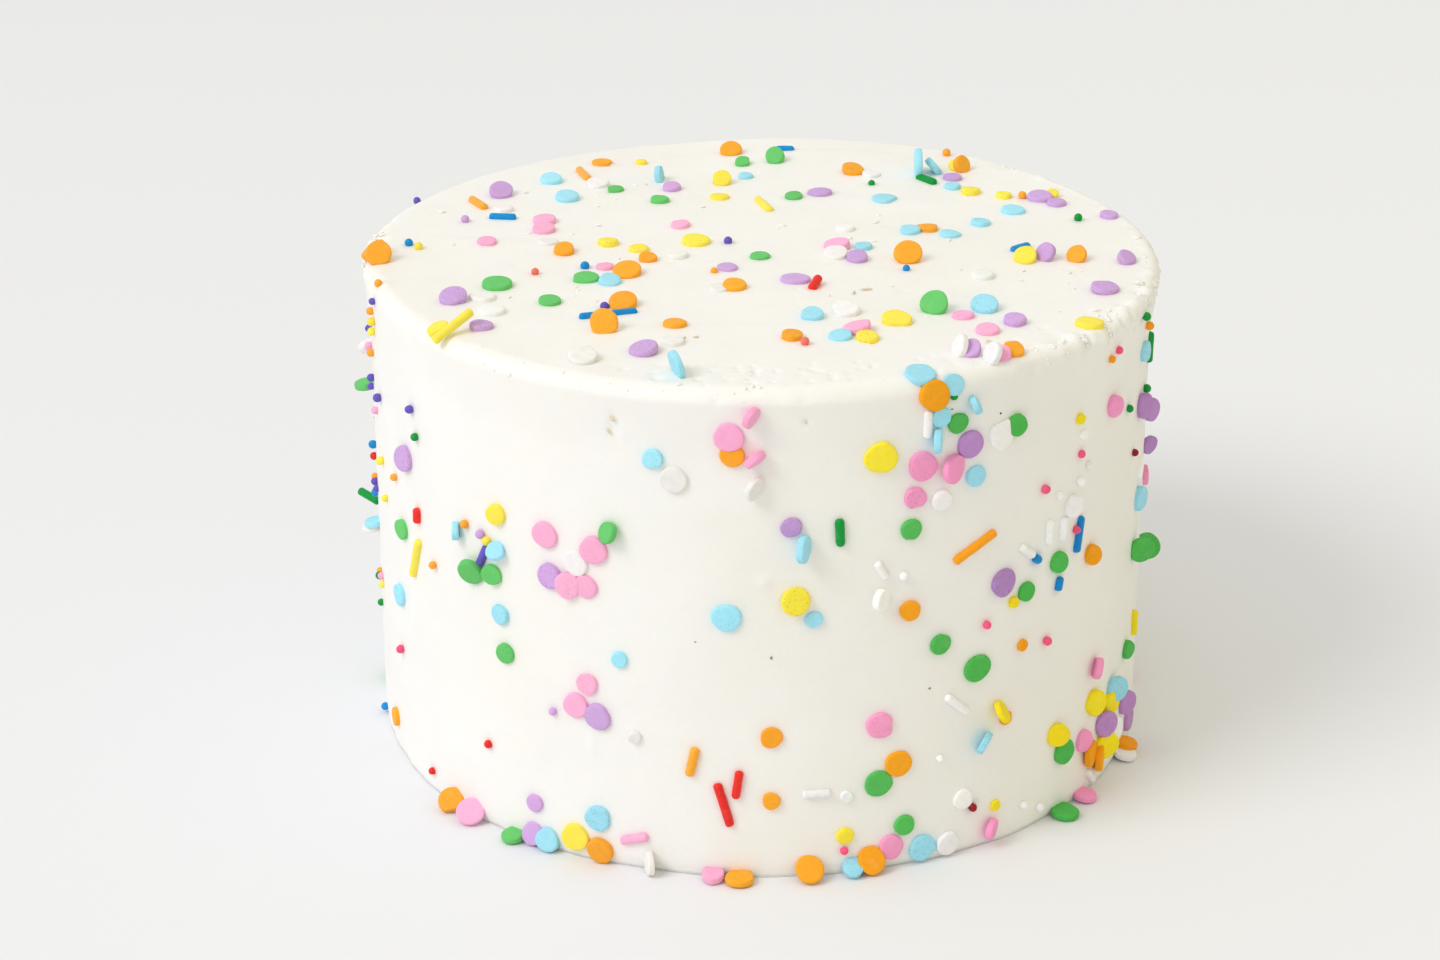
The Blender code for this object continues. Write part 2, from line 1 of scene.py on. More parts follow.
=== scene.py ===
# The looks of the birthday cake: its buttercream, the sugar sprinkles pressed into it, the light and the
# camera. The frame is that of the solid: origin in the middle of the flat foot, +Z up and the side that is
# seen at -Y. Metres.

import itertools
import random
from math import acos, asin, atan2, cos, hypot, pi, radians, sin, sqrt

import bpy
import numpy as np
from mathutils import Matrix, Vector


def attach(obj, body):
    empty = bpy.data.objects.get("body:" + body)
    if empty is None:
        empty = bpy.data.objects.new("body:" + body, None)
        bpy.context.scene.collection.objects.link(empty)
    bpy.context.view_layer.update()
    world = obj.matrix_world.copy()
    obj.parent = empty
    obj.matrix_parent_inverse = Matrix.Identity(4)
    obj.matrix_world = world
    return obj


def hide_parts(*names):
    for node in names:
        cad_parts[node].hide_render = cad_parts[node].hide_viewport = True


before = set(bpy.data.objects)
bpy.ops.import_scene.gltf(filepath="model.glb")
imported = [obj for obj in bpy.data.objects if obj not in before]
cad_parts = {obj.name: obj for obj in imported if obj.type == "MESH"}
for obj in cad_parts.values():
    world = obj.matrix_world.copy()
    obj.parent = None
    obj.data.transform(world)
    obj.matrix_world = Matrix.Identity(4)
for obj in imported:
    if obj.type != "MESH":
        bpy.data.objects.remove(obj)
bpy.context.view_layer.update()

MM = 0.001
CAKE = "frosted_cake"
scene = bpy.context.scene

# The frosted body, as in the solid
CAKE_RADIUS = 83.0 * MM
CAKE_HEIGHT = 105.0 * MM
RIM_ROUNDING = 3.5 * MM
LIP_FLARE = 1.0 * MM
LIP_DEPTH = 16.0 * MM
SHOULDER = CAKE_HEIGHT - RIM_ROUNDING
SIDE_WAVES = ((2, 0.25, 0.6), (3, 0.20, 2.1), (5, 0.12, 4.0))
LIP_WAVES = ((4, 0.45, 2.8), (7, 0.15, 1.2))
TOP_SWELLS = ((28, 62, 0.9, 26), (-22, 66, -0.7, 24), (-10, -40, 0.3, 30), (55, -30, -0.3, 26))

# The frosting's mesh: columns round the cake, closer together on the side that is seen, and rows
COLUMNS = 600
FRONT_CROWDING = 0.35
ROW_STEP = 1.0 * MM
RIM_ROWS = 10
FINE_BAND = 12.0 * MM
FINE_STEP = 0.6 * MM
NARROWEST_CELL = 0.55 * MM

# Relief of the frosting, in mm: (size of the wave, height of the wave, seed)
SOFT_RELIEF = ((26, 0.16, 1), (9, 0.06, 2), (3.2, 0.022, 3))
SCRAPER_LENGTH = 70.0
SCRAPER_WIDTH = 2.6
SCRAPER_HEIGHT = 0.035
FOOT_TUCK = 0.55
FOOT_TUCK_HEIGHT = 1.5

# Strokes of the palette knife on the top: (right, back, direction in degrees, length, width, height) in mm
KNIFE_STROKES = (
    (-52, -4, -14, 46, 9, 0.22), (-30, 33, 8, 60, 12, 0.14), (22, 24, -6, 70, 11, 0.15),
    (-8, -56, 4, 64, 8, 0.16), (48, -20, 35, 44, 9, 0.18), (4, -22, -4, 80, 12, 0.12),
    (0, 60, 3, 66, 10, 0.16), (58, 44, -38, 40, 8, 0.18), (-56, -40, 48, 40, 8, 0.16),
)

# Marks in the side: (degrees round, height, size across, size up, depth) in mm; a negative depth stands out
SIDE_MARKS = (
    (-20, 96, 1.2, 2.6, 0.55), (-23.5, 92.6, 1, 0.7, 0.25), (5.5, 98.5, 0.8, 0.8, 0.30),
    (-15, 92, 1.6, 1, -0.20), (-63.5, 38, 0.8, 6, 0.28), (-46, 7.5, 0.8, 3, 0.32),
    (-24, 26.5, 1, 2.6, -0.30), (0.3, 65.3, 1.4, 1.1, -0.45), (-11, 60, 1.6, 1.2, -0.20),
    (33, 78, 1.2, 1.2, -0.20), (12, 44, 2, 1, 0.12), (-54, 44, 1.6, 1.4, -0.25),
)

# Small dimples of burst bubbles along the front of the top, and crumbly lumps in stretches of the rim
DIMPLE_SEED = 5
DIMPLES = 110
LUMP_SEED = 8
# (middle of the stretch in degrees round, its spread, how many lumps, the strongest in mm)
LUMP_STRETCHES = ((66, 15, 95, 0.75), (132, 5, 26, 0.8), (-90, 7, 26, 0.7), (0, 90, 40, 0.25))
# On the right the edge between side and top is crisper than an even rounding, by this many mm
EDGE_CRISPNESS = 0.55

RIM_CRUMB_SEED = 19
# Crumbs of frosting on the rim: (from, to in degrees round, how many, longest in mm)
RIM_CRUMBS = ((40, 96, 130, 2), (126, 139, 26, 2.2), (-101, -82, 26, 2), (-50, 40, 30, 1))
# Crumbs of frosting on the top: (right, back, spread, how many, longest) in mm
TOP_CRUMB_PATCHES = (
    (68, -42, 6, 12, 2), (62, -18, 9, 9, 1.6), (-40, 12, 20, 12, 1.8), (-46, -34, 16, 9, 1.6),
    (26, -28, 20, 8, 1.5), (16, 16, 14, 7, 1.8), (-34, 46, 14, 8, 1.8), (47, -62, 5, 8, 1.8),
)

# The sprinkles, as in the solid
CONFETTI_THICKNESS = 1.5 * MM
ROD_DIAMETER = 1.85 * MM
BEAD_DIAMETER = 1.75 * MM
SUNK = 0.7 * MM
SUNK_ON_EDGE = 1.0 * MM
BEAD_SUNK = 0.4 * MM
CONFETTI_SEED = 31
ROD_SEED = 37
BEAD_SEED = 41
CRUMB_SEED = 43
FOOT_CLEARANCE = 0.15 * MM

# Confetti on the top: (right, back, width) in mm, then, where it stands or leans, by how many degrees and
# which way its face turns, counted from the right (0) through the back (90). -90 is towards the front.
TOP_CONFETTI = {
    "orange": (
        (-81.3, -2.5, 5.8, 20, 180), (-79.9, -7.6, 5.6, 50, -80), (-35.7, 63, 4.6),
        (-41.3, -2.3, 4.4, 18, -90), (-27.6, -17, 6, 18, -90), (-23.5, -7.5, 3.9, 14, -90),
        (-6.1, 70, 5, 28, -90), (-27.8, -37, 5.8, 22, -90), (-31.1, -51.3, 5.7, 55, -90),
        (-17.2, -48.3, 4.8, 3, 90), (-5.4, -25.8, 4.9, 12, -90), (6, -54.8, 4.3, 5, -45),
        (21.5, 52.5, 5, 15, -45), (46.2, 54.5, 4.4, 60, -45), (36.2, 13.2, 4.8), (31, -7.5, 5.8, 45, -90),
        (66.4, -7.3, 4.3, 50, -120), (48.6, -63.8, 4.3, 30, -60),
    ),
    "pink": (
        (-58, 4, 4.3, 5, -90), (-46.5, 18.8, 5, 6, -90), (-46.4, 12.4, 5, 8, -90), (-32.2, -12.6, 3.8),
        (-17, 15.8, 4.3), (16.4, 1, 5.6, 10, -160), (40.3, -42, 4.5), (44.6, -51, 4.9, 6, -90),
        (19, -50.8, 5.9, 14, 165), (46.3, -66, 3.8, 30, -120),
    ),
    "yellow": (
        (-32.2, 3.6, 4.4, 4, 90), (-25.6, -0.5, 4.3), (-13.5, 4, 5.7, 8, -70), (-26.7, 63.5, 2.7),
        (-8.1, 46.8, 4.3, 40, -90), (-8.6, 35.8, 4.2), (-64, -49.5, 4.4, 6, 160),
        (45, 55.5, 3.5, 30, -120), (47.2, 38.8, 4.4, 6, 60), (54.4, 36, 3.4, 4, 45),
        (55.6, -7.5, 4.9, 30, -100), (20.7, -55.8, 4.5, 8, -90), (26.9, -46, 6, 12, -80),
        (65.2, -46.8, 5.8, 4, 45), (65.3, 36.5, 2.6, 30, -90),
    ),
    "sky": (
        (-46.6, 48.5, 5, 10, -90), (-42.4, 35.2, 5.2, 10, -75), (-31, -22.5, 4.7, 16, -60),
        (-22.3, 50, 4.2, 80, -10), (-2.8, 51.2, 3.3), (-16.4, -75, 6.2, 105, -160), (27.8, 33, 5.7),
        (36.2, 51, 7, 90, 0), (39.8, 52.5, 4.6, 50, 10), (43.4, 42, 3.6), (55.6, 25.8, 5.2),
        (48, 17.2, 4.3), (32.4, 11.2, 4.3, 8, -90), (40.9, 9.2, 4.4), (22, 0.8, 3.8),
        (45, -37.5, 5.6, 22, -90), (10.2, -43.2, 4.5, 14, -90), (15.5, -54.6, 4.7), (30, -75.2, 6.2),
        (36.3, -75, 4.5),
    ),
    "green": (
        (-32, 41.8, 3.8), (-21.9, 34, 4.2), (-3.4, 61.5, 3.6, 18, -90), (4, 62.8, 4.5, 45, -110),
        (7.8, 35, 4, 6, -90), (0, -5.6, 4.3), (-36, -20, 5.7, 4, -90), (-54, -23.8, 6.2, 6, -80),
        (-42.7, -34, 4.6, 5, -80), (34.8, -38.5, 5.8, 38, -105),
    ),
    "lilac": (
        (-57.2, 37.8, 5.3, 28, -65), (-19.4, 42.8, 4.2, 10, -90), (-6.8, -13.3, 4.5), (13.6, 37.8, 5.6),
        (7.2, -20.6, 6), (-62.3, -33, 5.8, 20, -100), (-55.6, -48.5, 4.7, 4, 0),
        (-23, -63, 6.1, 12, -160), (43.8, 48.5, 4.2), (62.3, 34.8, 5.6, 6, -90), (65.6, 31, 4.4),
        (76.3, 22, 4, 4, -45), (76.7, -8.5, 4.2, 30, -40), (70.4, -25.8, 6, 8, -20),
        (59.9, -6.5, 4.6, 58, -140), (20.4, -7.2, 4.5, 16, -90), (50.5, -46, 4.6, 14, -90),
        (40.2, -64.2, 4.6, 35, -120),
    ),
    "white": (
        (-45, 4, 4.5), (-36, 45.5, 5, 10, -90), (25.5, 50, 4.2), (18.5, 13, 4.2), (16, -5, 5, 16, -90),
        (-17.4, -5, 4.6), (-56.6, -31, 5.6), (-54, -39.5, 5.4), (-8.5, -26.5, 4.2),
        (16.9, -40.5, 5.4, 16, -90), (-34.6, -67.5, 5.6, 20, -90), (-17.5, -58, 4.9),
        (38.3, -64, 4.8, 70, -160), (44.2, -67.5, 4.8, 70, -155), (46, -17, 5), (-56, 27, 4.4),
    ),
}

# Confetti on the side: (degrees round from the front, right positive; height in mm; width in mm), then,
# where it leans, by how many degrees and which way its face turns: 0 is right, 90 is up.
SIDE_CONFETTI = {
    "orange": (
        (22.9, 101.6, 6.2, 10, 90), (-4, 91.6, 4.7), (1.3, 31.7, 4.4), (1.3, 17.6, 3.6), (19, 23.6, 5.7),
        (20.3, 56.8, 4.2), (53.6, 56.2, 4.3, 25, 180), (38.9, 43, 2.5), (36.3, 27.9, 3),
        (-49.8, 2.4, 5.6, 55, 60), (-22.9, 2.8, 5.6, 10, -60), (6.5, 2.3, 5.8, 45, 90),
        (15.2, 2.9, 5.8, 25, 90), (-3, 1.1, 5.8, 88, 90), (55.8, 9.6, 5.8, 15, 0),
        (58.6, 6.6, 5.6, 20, 0), (70, 2.4, 4.6, 70, 90), (-71.5, 7.8, 4.2),
    ),
    "pink": (
        (-1.5, 100.2, 4.4, 62, -25), (-4.4, 95.5, 5.9), (-1, 91.3, 4.5, 65, -50),
        (-30.6, 70.3, 5.4, 8, 0), (-23.1, 69.2, 5.7, 6, 0), (-27, 60.7, 5.4, 15, 0), (-24.4, 61, 4.9),
        (-24.5, 39.8, 4.6), (-26.3, 34.6, 5.3, 5, 0), (16.3, 32.7, 5.7), (21.7, 87, 6),
        (26, 85.7, 5.8, 24, 0), (20.7, 80.6, 4.6), (58.6, 86.2, 4.8, 15, 180), (56.3, 29.1, 4.6, 38, -20),
        (53.8, 13.6, 4.8, 10, 180), (-45.2, 2.2, 5.9, 60, 55), (-6.6, 1.2, 4.6, 80, 90), (18.2, 5, 5.3),
        (33.9, 3.9, 4.6, 35, -15), (53.7, 1.2, 4.8, 80, 90), (84.5, 56.5, 4.4, 8, 0),
    ),
    "yellow": (
        (-39, 71.6, 4.3, 18, 0), (15.7, 90, 6.4, 6, 180), (4.4, 61.3, 5.7, 20, 60), (-26.8, 4.7, 6, 5, 0),
        (11.5, 8.9, 3.6), (37, 53.3, 2.5), (49.3, 87.7, 2.2, 15, 180), (34.9, 30.4, 4.8, 55, 40),
        (34.8, 8.7, 2.3), (56.6, 20.8, 6, 14, 180), (62.5, 17, 5.6, 10, 180), (46.8, 19, 5.2, 20, 180),
        (60.2, 8.8, 6, 30, 180),
    ),
    "sky": (
        (-14.6, 89.9, 4.2), (5.3, 72.7, 5.6, 65, 0), (-4.8, 57.6, 5.8), (6.9, 57, 3.5),
        (-19.6, 46.5, 3.3, 5, 0), (29, 98.2, 3.8, 65, 30), (24.1, 96.7, 4.2), (23.4, 92.3, 4.8, 60, 0),
        (29.8, 82.9, 4.4), (73.8, 57.5, 5.4, 14, 180), (32, 24.5, 4.9, 48, -35),
        (63.5, 19.9, 5.6, 30, 180), (-38.9, 63.9, 4.1, 50, 75), (-38.9, 49.8, 4.2, 5, 180),
        (-66, 40, 4.6, 5, 0), (-47.2, 64.5, 3.8, 43, 180), (-31.2, 2.5, 5, 25, 60),
        (-23.2, 10.2, 5.5, 4, 0), (12.6, 1.9, 4.4, 50, 90), (23, 3.4, 6), (-83.5, 46.2, 4, 80, 90),
        (72, 91.4, 4.6, 8, 180),
    ),
    "green": (
        (-43.9, 57.3, 5.8, 30, -50), (-40.1, 58.2, 4.4, 20, 0), (-38.1, 41.6, 4.3, 6, 0),
        (-20.8, 73.7, 4.5, 40, 150), (-63.8, 56.2, 4.4, 8, 0), (16.2, 19.8, 5.8), (26.7, 94.8, 4.3),
        (36.2, 91.6, 4.5, 15, 180), (20.2, 74.1, 4.4), (39.3, 54.7, 4.2), (45.7, 58.3, 4.7, 6, 180),
        (25, 48.3, 4.4), (31, 41.1, 6), (20.1, 9.5, 4.4), (48.6, 14.2, 5.6, 8, 180),
        (69.8, 24.9, 4.2, 16, 180), (72.5, 46.6, 5.8, 48, 180), (89.5, 36.6, 6.2, 85, 180),
        (-37, 1, 4.8, 80, 90), (48, 1, 6, 86, 90), (-85, 77.3, 4.8, 80, 90),
    ),
    "lilac": (
        (3.8, 76.7, 4.1), (28.8, 89.8, 5.8), (35, 58.3, 5.9), (-30, 61.6, 5.4, 8, 180), (-23, 33, 5.6),
        (-33.5, 9.8, 3.8, 5, 0), (-33.8, 2.4, 5, 15, 60), (-61.6, 73.2, 5.6, 12, 0),
        (72, 79.4, 5.6, 18, 180), (82, 73, 5.2, 30, 180), (82, 65, 4, 40, 180), (59.8, 14, 5.8, 28, 180),
        (69.5, 12.6, 5.4, 25, 180), (73.5, 5.8, 5.6, 5, 180),
    ),
    "white": (
        (-11.8, 86, 5.4), (-1.1, 85.3, 5, 55, -20), (-26, 65.5, 5.5), (24.6, 79.2, 4.4),
        (33.9, 90.4, 6.2), (50.4, 83.8, 2.2), (48.4, 69.3, 4.8, 12, 180), (15.9, 60.3, 4.5, 40, 0),
        (-17.6, 30, 2.6, 20, 0), (11.7, 17.7, 2.6), (29.2, 12.4, 4.5), (26.9, 3.1, 5.2),
        (-84.5, 44.6, 4.6, 75, 90), (-15.4, 2.6, 5, 60, 180), (-84, 86.5, 4, 60, 90), (74.5, 64, 5.2),
        (64.5, 9.5, 6, 10, 180), (68.5, 1.2, 5, 82, 90),
    ),
}

# Rods on the top: (right, back, length) in mm, then the way it points from the right and its rise, degrees
TOP_RODS = {
    "orange": ((-61.8, 31, 7.6, -62, 0), (-39.5, 53.5, 8.2, -72, 0)),
    "blue": (
        (-55.8, 21.3, 6, -6, 0), (6.3, 71, 4.6, -3, 0), (55.2, 0, 5.2, 40, 0), (-30.6, -42.3, 12, 16, 0),
    ),
    "yellow": ((1.1, 29.8, 8.8, -72, 0), (-60.8, -52.3, 10.4, 42, 20)),
    "leaf": ((37.8, 46.5, 6.2, -52, 0),),
    "red": ((11.2, -24.3, 4.6, 68, 14),),
}

# Rods on the side: (degrees round, height, length in mm), the way it points (0 right, 90 up) and its rise
SIDE_RODS = {
    "leaf": ((10.3, 75.1, 5.8, 93, 0), (-86, 50.8, 6, 165, 45), (78, 89.2, 6.8, 88, 0)),
    "orange": ((30, 67.8, 10.5, 25, 0), (-9.5, 25.8, 6.4, 78, 0)),
    "white": (
        (22.2, 95.7, 5.8, 90, 0), (16.1, 66.3, 4.2, -60, 0), (43.5, 65.8, 5.4, 88, 0),
        (46.4, 65.2, 5, 85, 0), (39.2, 63.5, 4.6, -38, 0), (7.5, 18.8, 5.8, 0, 0),
        (27.8, 34.2, 7, -42, 0), (56.5, 3.6, 4.8, 130, 0),
    ),
    "blue": ((50.2, 62.3, 7.8, 80, 0), (41.1, 61.1, 2.2, -38, 0), (46, 53.4, 3, 78, 0)),
    "red": ((-3.3, 21.2, 6.2, 82, 0), (-5.2, 16.6, 9.8, 106, 0), (-58.2, 62.3, 3.4, 88, 0)),
    "pink": ((-17.8, 7, 6.1, 18, 0),),
    "yellow": ((75.2, 27.7, 5.8, 90, 0), (-59.2, 52.3, 10, 69, 0)),
    "indigo": ((-42, 61.4, 5.6, 62, 0),),
}

# Beads, which are too small for the solid: (right, back) in mm on the top and (degrees round, height) on
# the side
TOP_BEADS = {
    "indigo": ((-75.5, 35.5), (-6.7, 4), (-31.5, -38)),
    "lilac": ((-63.8, 19),),
    "blue": ((-74.6, 3), (-36.5, -12.5), (30.4, -13.5)),
    "yellow": ((-72.3, 0.6),),
    "orange": ((-9.6, -15.8), (58.5, 35.4), (43.5, 66)),
    "coral": ((-46.7, -16), (8.4, -58.5)),
    "leaf": ((25.4, 43.6), (69.3, 19.6)),
}
SIDE_BEADS = {
    "indigo": (
        (-59, 85.3), (-73.7, 80.3), (-81, 80.9), (-83, 77.9), (-82.5, 56.3), (-80.5, 55.7),
        (-73.2, 101.8), (-79, 93),
    ),
    "leaf": (
        (-57.7, 79.9), (25.9, 100.6), (64.8, 82.5), (75, 81.6), (67.3, 101.6), (-80.5, 35.5),
        (-81.5, 28.5),
    ),
    "red": ((-42, 19.3), (-56.4, 4.8), (-83.5, 61.6)),
    "maroon": ((68.8, 70.6), (30.8, 10)),
    "rose": (
        (-66.5, 27.1), (49.9, 79.9), (42.2, 75.7), (49.4, 63.7), (32.3, 50.2), (43.8, 41.8), (11.4, 5.6),
        (58.2, 98.5),
    ),
    "pink": ((-77, 75.7), (-78.5, 36.7), (-82, 87.5)),
    "orange": (
        (-66.4, 66.5), (-45.6, 66.7), (-53.8, 53.6), (71.5, 97.3), (56.3, 97.4), (-75.5, 98.6),
        (-79.3, 87.4), (-81, 36.3), (-83, 57.2), (-74.7, 104.5),
    ),
    "yellow": ((-41, 65), (-76, 93.8), (-75, 96.5), (-73.7, 66.2), (-72, 58.6), (-78, 35)),
    "blue": ((-84, 1.5), (-83, 64.6), (-83.5, 53.2)),
    "lilac": ((-42.3, 66), (-30, 32)),
    "white": ((19.2, 64.5), (45.2, 73), (49.9, 74), (25.3, 23), (40.2, 6.2), (43.5, 4), (52, 76.5)),
}

# The far side's sprinkles, spread by a rule
BACK_SEED = 11
BACK_CONFETTI = 66
BACK_FOOT_CONFETTI = 15
BACK_RODS = 14
BACK_FROM = 96.0
BACK_TO = 264.0
BACK_LOW = 8.0
BACK_HIGH = 99.0
CANDIDATES = 12
BACK_LEANS = (0, 0, 0, 0, 15, 30, 55)
CONFETTI_COLOURS = ("orange", "sky", "pink", "lilac", "yellow", "green", "white")
ROD_COLOURS = ("orange", "white", "red", "blue", "leaf", "yellow", "pink", "indigo")
CONFETTI_WIDTHS = (4.1, 4.3, 4.6, 5.3, 5.6, 5.9)
ROD_LENGTHS = (4.8, 5.6, 6.4, 7.4, 8.6)
BACK_BEAD_SEED = 23
BACK_BEADS = 34
BEAD_COLOURS = ("indigo", "leaf", "red", "rose", "orange", "yellow", "blue", "lilac", "white", "coral")

# Crumbs: (colour, right, back, length, width) in mm on the top and (colour, degrees round, height, length,
# width) on the side
TOP_CRUMBS = (
    # Painted shadow: the beige marks at (-15.5, -56) and (-13, -55) lie where the white disc at (-17.5, -58)
    # casts its tan shadow, and stand for that shadow
    ("beige", 21.5, -26, 2.6, 0.7), ("beige", 19, -28, 1.6, 0.6), ("beige", -15.5, -56, 2.8, 0.6),
    ("beige", -13, -55, 1.2, 0.6), ("beige", -25, 46, 2, 0.6), ("beige", 44.5, -57, 1.8, 0.7),
)
SIDE_CRUMBS = (
    ("dark", 25.8, 97.9, 0.7, 0.4), ("dark", 33.6, 94.8, 0.6, 0.4), ("grey", 1.2, 49, 0.8, 0.5),
    ("beige", -20, 97.4, 1.5, 0.7), ("beige", -20.6, 94.6, 1.1, 0.6), ("beige", 5.5, 98.5, 0.8, 0.5),
    ("grey", 23.5, 39, 0.8, 0.4), ("grey", -9, 52, 0.5, 0.4), ("dark", -24.6, 34, 1, 0.5),
    ("white", -86, 78.4, 2.6, 1.6), ("white", -86.5, 69.5, 2.4, 1.5), ("white", -86, 54.6, 2.4, 1.4),
)

# Colours, linear
PAINTS = {
    "orange": (1.0, 0.385, 0.008),
    "pink": (1.0, 0.34, 0.60),
    "yellow": (1.0, 0.80, 0.016),
    "sky": (0.36, 0.76, 0.92),
    "green": (0.085, 0.50, 0.09),
    "lilac": (0.51, 0.27, 0.60),
    "white": (0.97, 0.965, 0.945),
    "blue": (0.003, 0.25, 0.64),
    "leaf": (0.002, 0.31, 0.045),
    "red": (0.86, 0.03, 0.02),
    "indigo": (0.11, 0.07, 0.46),
    "rose": (0.93, 0.10, 0.24),
    "coral": (0.95, 0.20, 0.14),
    "maroon": (0.30, 0.01, 0.02),
    "cream": (0.94, 0.925, 0.885),
    "beige": (0.76, 0.66, 0.48),
    "grey": (0.35, 0.32, 0.27),
    "dark": (0.06, 0.045, 0.035),
}
# Painted light: lit copies of the colours, mostly paler and for white a little darker, painted on sprinkles
# where the frosting under them faces the light, and the way to that light
PAINTED_LIGHT_PAINTS = {
    "orange": (1.0, 0.42, 0.035),
    "pink": (1.0, 0.46, 0.68),
    "yellow": (1.0, 0.82, 0.09),
    "sky": (0.38, 0.79, 0.93),
    "green": (0.15, 0.59, 0.16),
    "lilac": (0.64, 0.40, 0.74),
    "white": (0.90, 0.885, 0.855),
    "indigo": (0.14, 0.10, 0.50),
    "blue": (0.004, 0.28, 0.67),
}
TO_LIGHT = (-0.57, -0.43, 0.70)
SHADE_SPREAD = 0.05
CREAM = (0.93, 0.913, 0.868)
WARM_CREAM = (0.90, 0.865, 0.775)
SUGAR_FROST = (0.95, 0.94, 0.92)

# The camera stands a little above the cake and looks down on its top
CAMERA_PLACE = (-5.53 * MM, -664.4 * MM, 327.5 * MM)
CAMERA_DOWN = 0.393
CAMERA_TURN = -0.0045
CAMERA_ROLL = -0.0025
CAMERA_LENS = 82.5
FILM_WIDTH = 36.0

# Light: the room is bright overhead, a little cool on the left and warm on the right
ROOM_LEFT = (0.725, 0.735, 0.775)
ROOM_RIGHT = (0.70, 0.655, 0.47)
ROOM_HORIZON = 0.97
ROOM_OVERHEAD = 1.15
KEY_COLOUR = (1.0, 0.993, 0.99)
KEY_POWER = 63.0
KEY_PLACE = (-2.43, -1.64, 2.85)
KEY_SIZE = 2.0
FLOOR_COLOUR = (0.860, 0.866, 0.884)
FLOOR_RADIUS = 4.0
FLOOR_SIDES = 96


# The shape of the frosting. These take single numbers and arrays alike.

def smooth(t):
    t = np.clip(t, 0.0, 1.0)
    return t * t * (3.0 - 2.0 * t)


def waves(terms, turn):
    return sum(height * MM * np.sin(count * turn + phase) for count, height, phase in terms)


def side_radius(turn, height):
    """How far the side stands from the axis, under the rounding of the rim."""
    lip = smooth((height - (CAKE_HEIGHT - LIP_DEPTH)) / LIP_DEPTH)
    return CAKE_RADIUS + waves(SIDE_WAVES, turn) + lip * (LIP_FLARE + waves(LIP_WAVES, turn))


def top_height(x, y):
    swell = 0.0
    for right, back, height, radius in TOP_SWELLS:
        square = ((x - right * MM) ** 2 + (y - back * MM) ** 2) / (radius * MM) ** 2
        swell = swell + height * MM * np.exp(-square)
    return CAKE_HEIGHT + swell


def rim_reach(turn, angle):
    return side_radius(turn, CAKE_HEIGHT) - RIM_ROUNDING + RIM_ROUNDING * np.cos(angle)


def rim_height(turn, angle):
    reach = rim_reach(turn, angle)
    flat = top_height(reach * np.sin(turn), -reach * np.cos(turn))
    return flat - RIM_ROUNDING + RIM_ROUNDING * np.sin(angle)


def outward(turn):
    """The level direction at a turn round the cake, counted from the front towards the right."""
    return Vector((sin(turn), -cos(turn), 0.0))


def tilted(turn, angle):
    """Outward at angle 0 and straight up at a quarter turn."""
    return outward(turn) * cos(angle) + Vector((0.0, 0.0, sin(angle)))


def rim_point(turn, angle):
    """A point on the rounding between side and top: angle 0 is the side and a quarter turn the top."""
    return outward(turn) * float(rim_reach(turn, angle)) + Vector((0.0, 0.0, float(rim_height(turn, angle))))


# Smooth noise

def hashed(cell, seed):
    """A repeatable number from -1 to 1 for each whole-number cell."""
    mixed = (cell[:, 0] * 73856093) ^ (cell[:, 1] * 19349663) ^ (cell[:, 2] * 83492791) ^ (seed * 50331653)
    mixed = (mixed ^ (mixed >> 13)) & 0x7FFFFFFF
    mixed = (mixed * 1274126177) & 0x7FFFFFFF
    mixed = mixed ^ (mixed >> 15)
    return (mixed & 0xFFFF) / 32767.5 - 1.0


def ripples(points, seed):
    """Smooth noise from -1 to 1 whose waves are about one unit long."""
    cell = np.floor(points).astype(np.int64)
    part = smooth(points - cell)
    total = np.zeros(len(points))
    for corner in itertools.product((0, 1), repeat=3):
        corner = np.array(corner)
        weight = np.prod(np.where(corner == 1, part, 1.0 - part), axis=1)
        total += weight * hashed(cell + corner, seed)
    return total


# The frosting's mesh

def ring_turns(count):
    even = 2.0 * pi * np.arange(count) / count
    return even - FRONT_CROWDING * np.sin(even)


def ring_of(turn, reach, height, angle):
    """One ring of points with their outward directions: angle 0 faces outward and a quarter turn up."""
    around = np.stack([np.sin(turn), -np.cos(turn)], axis=1)
    points = np.column_stack([around * np.reshape(reach, (-1, 1)), height])
    facing = np.column_stack([around * cos(angle), np.full(len(turn), sin(angle))])
    return points, facing


def frosting_rings():
    """The rings of the frosting, from the foot up, over the rim and in across the top."""
    turn = ring_turns(COLUMNS)
    rings = []
    side_rows = round(SHOULDER / ROW_STEP)
    for part in np.linspace(0.0, 1.0, side_rows + 1):
        height = part * rim_height(turn, 0.0)
        rings.append(ring_of(turn, side_radius(turn, part * SHOULDER), height, 0.0))
    for row in range(1, RIM_ROWS + 1):
        angle = 0.5 * pi * row / RIM_ROWS
        rings.append(ring_of(turn, rim_reach(turn, angle), rim_height(turn, angle), angle))
    inner = CAKE_RADIUS - RIM_ROUNDING
    count = COLUMNS
    reached = inner
    while reached > 2.0 * ROW_STEP:
        reached -= FINE_STEP if inner - reached < FINE_BAND else ROW_STEP
        part = reached / inner
        if 2.0 * pi * inner * part / count < NARROWEST_CELL and count % 2 == 0:
            count //= 2
        turn = ring_turns(count)
        reach = rim_reach(turn, 0.5 * pi) * part
        height = top_height(reach * np.sin(turn), -reach * np.cos(turn))
        rings.append(ring_of(turn, reach, height, 0.5 * pi))
    return rings


def band_faces(lower, upper):
    """Faces between two rings of point numbers, where the upper may have half as many as the lower."""
    count = len(upper)
    if len(lower) == count:
        return [(lower[i], lower[(i + 1) % count], upper[(i + 1) % count], upper[i]) for i in range(count)]
    faces = []
    for i in range(count):
        first, between, last = lower[2 * i], lower[2 * i + 1], lower[(2 * i + 2) % len(lower)]
        following = upper[(i + 1) % count]
        faces += [(first, between, upper[i]), (between, following, upper[i]), (between, last, following)]
    return faces


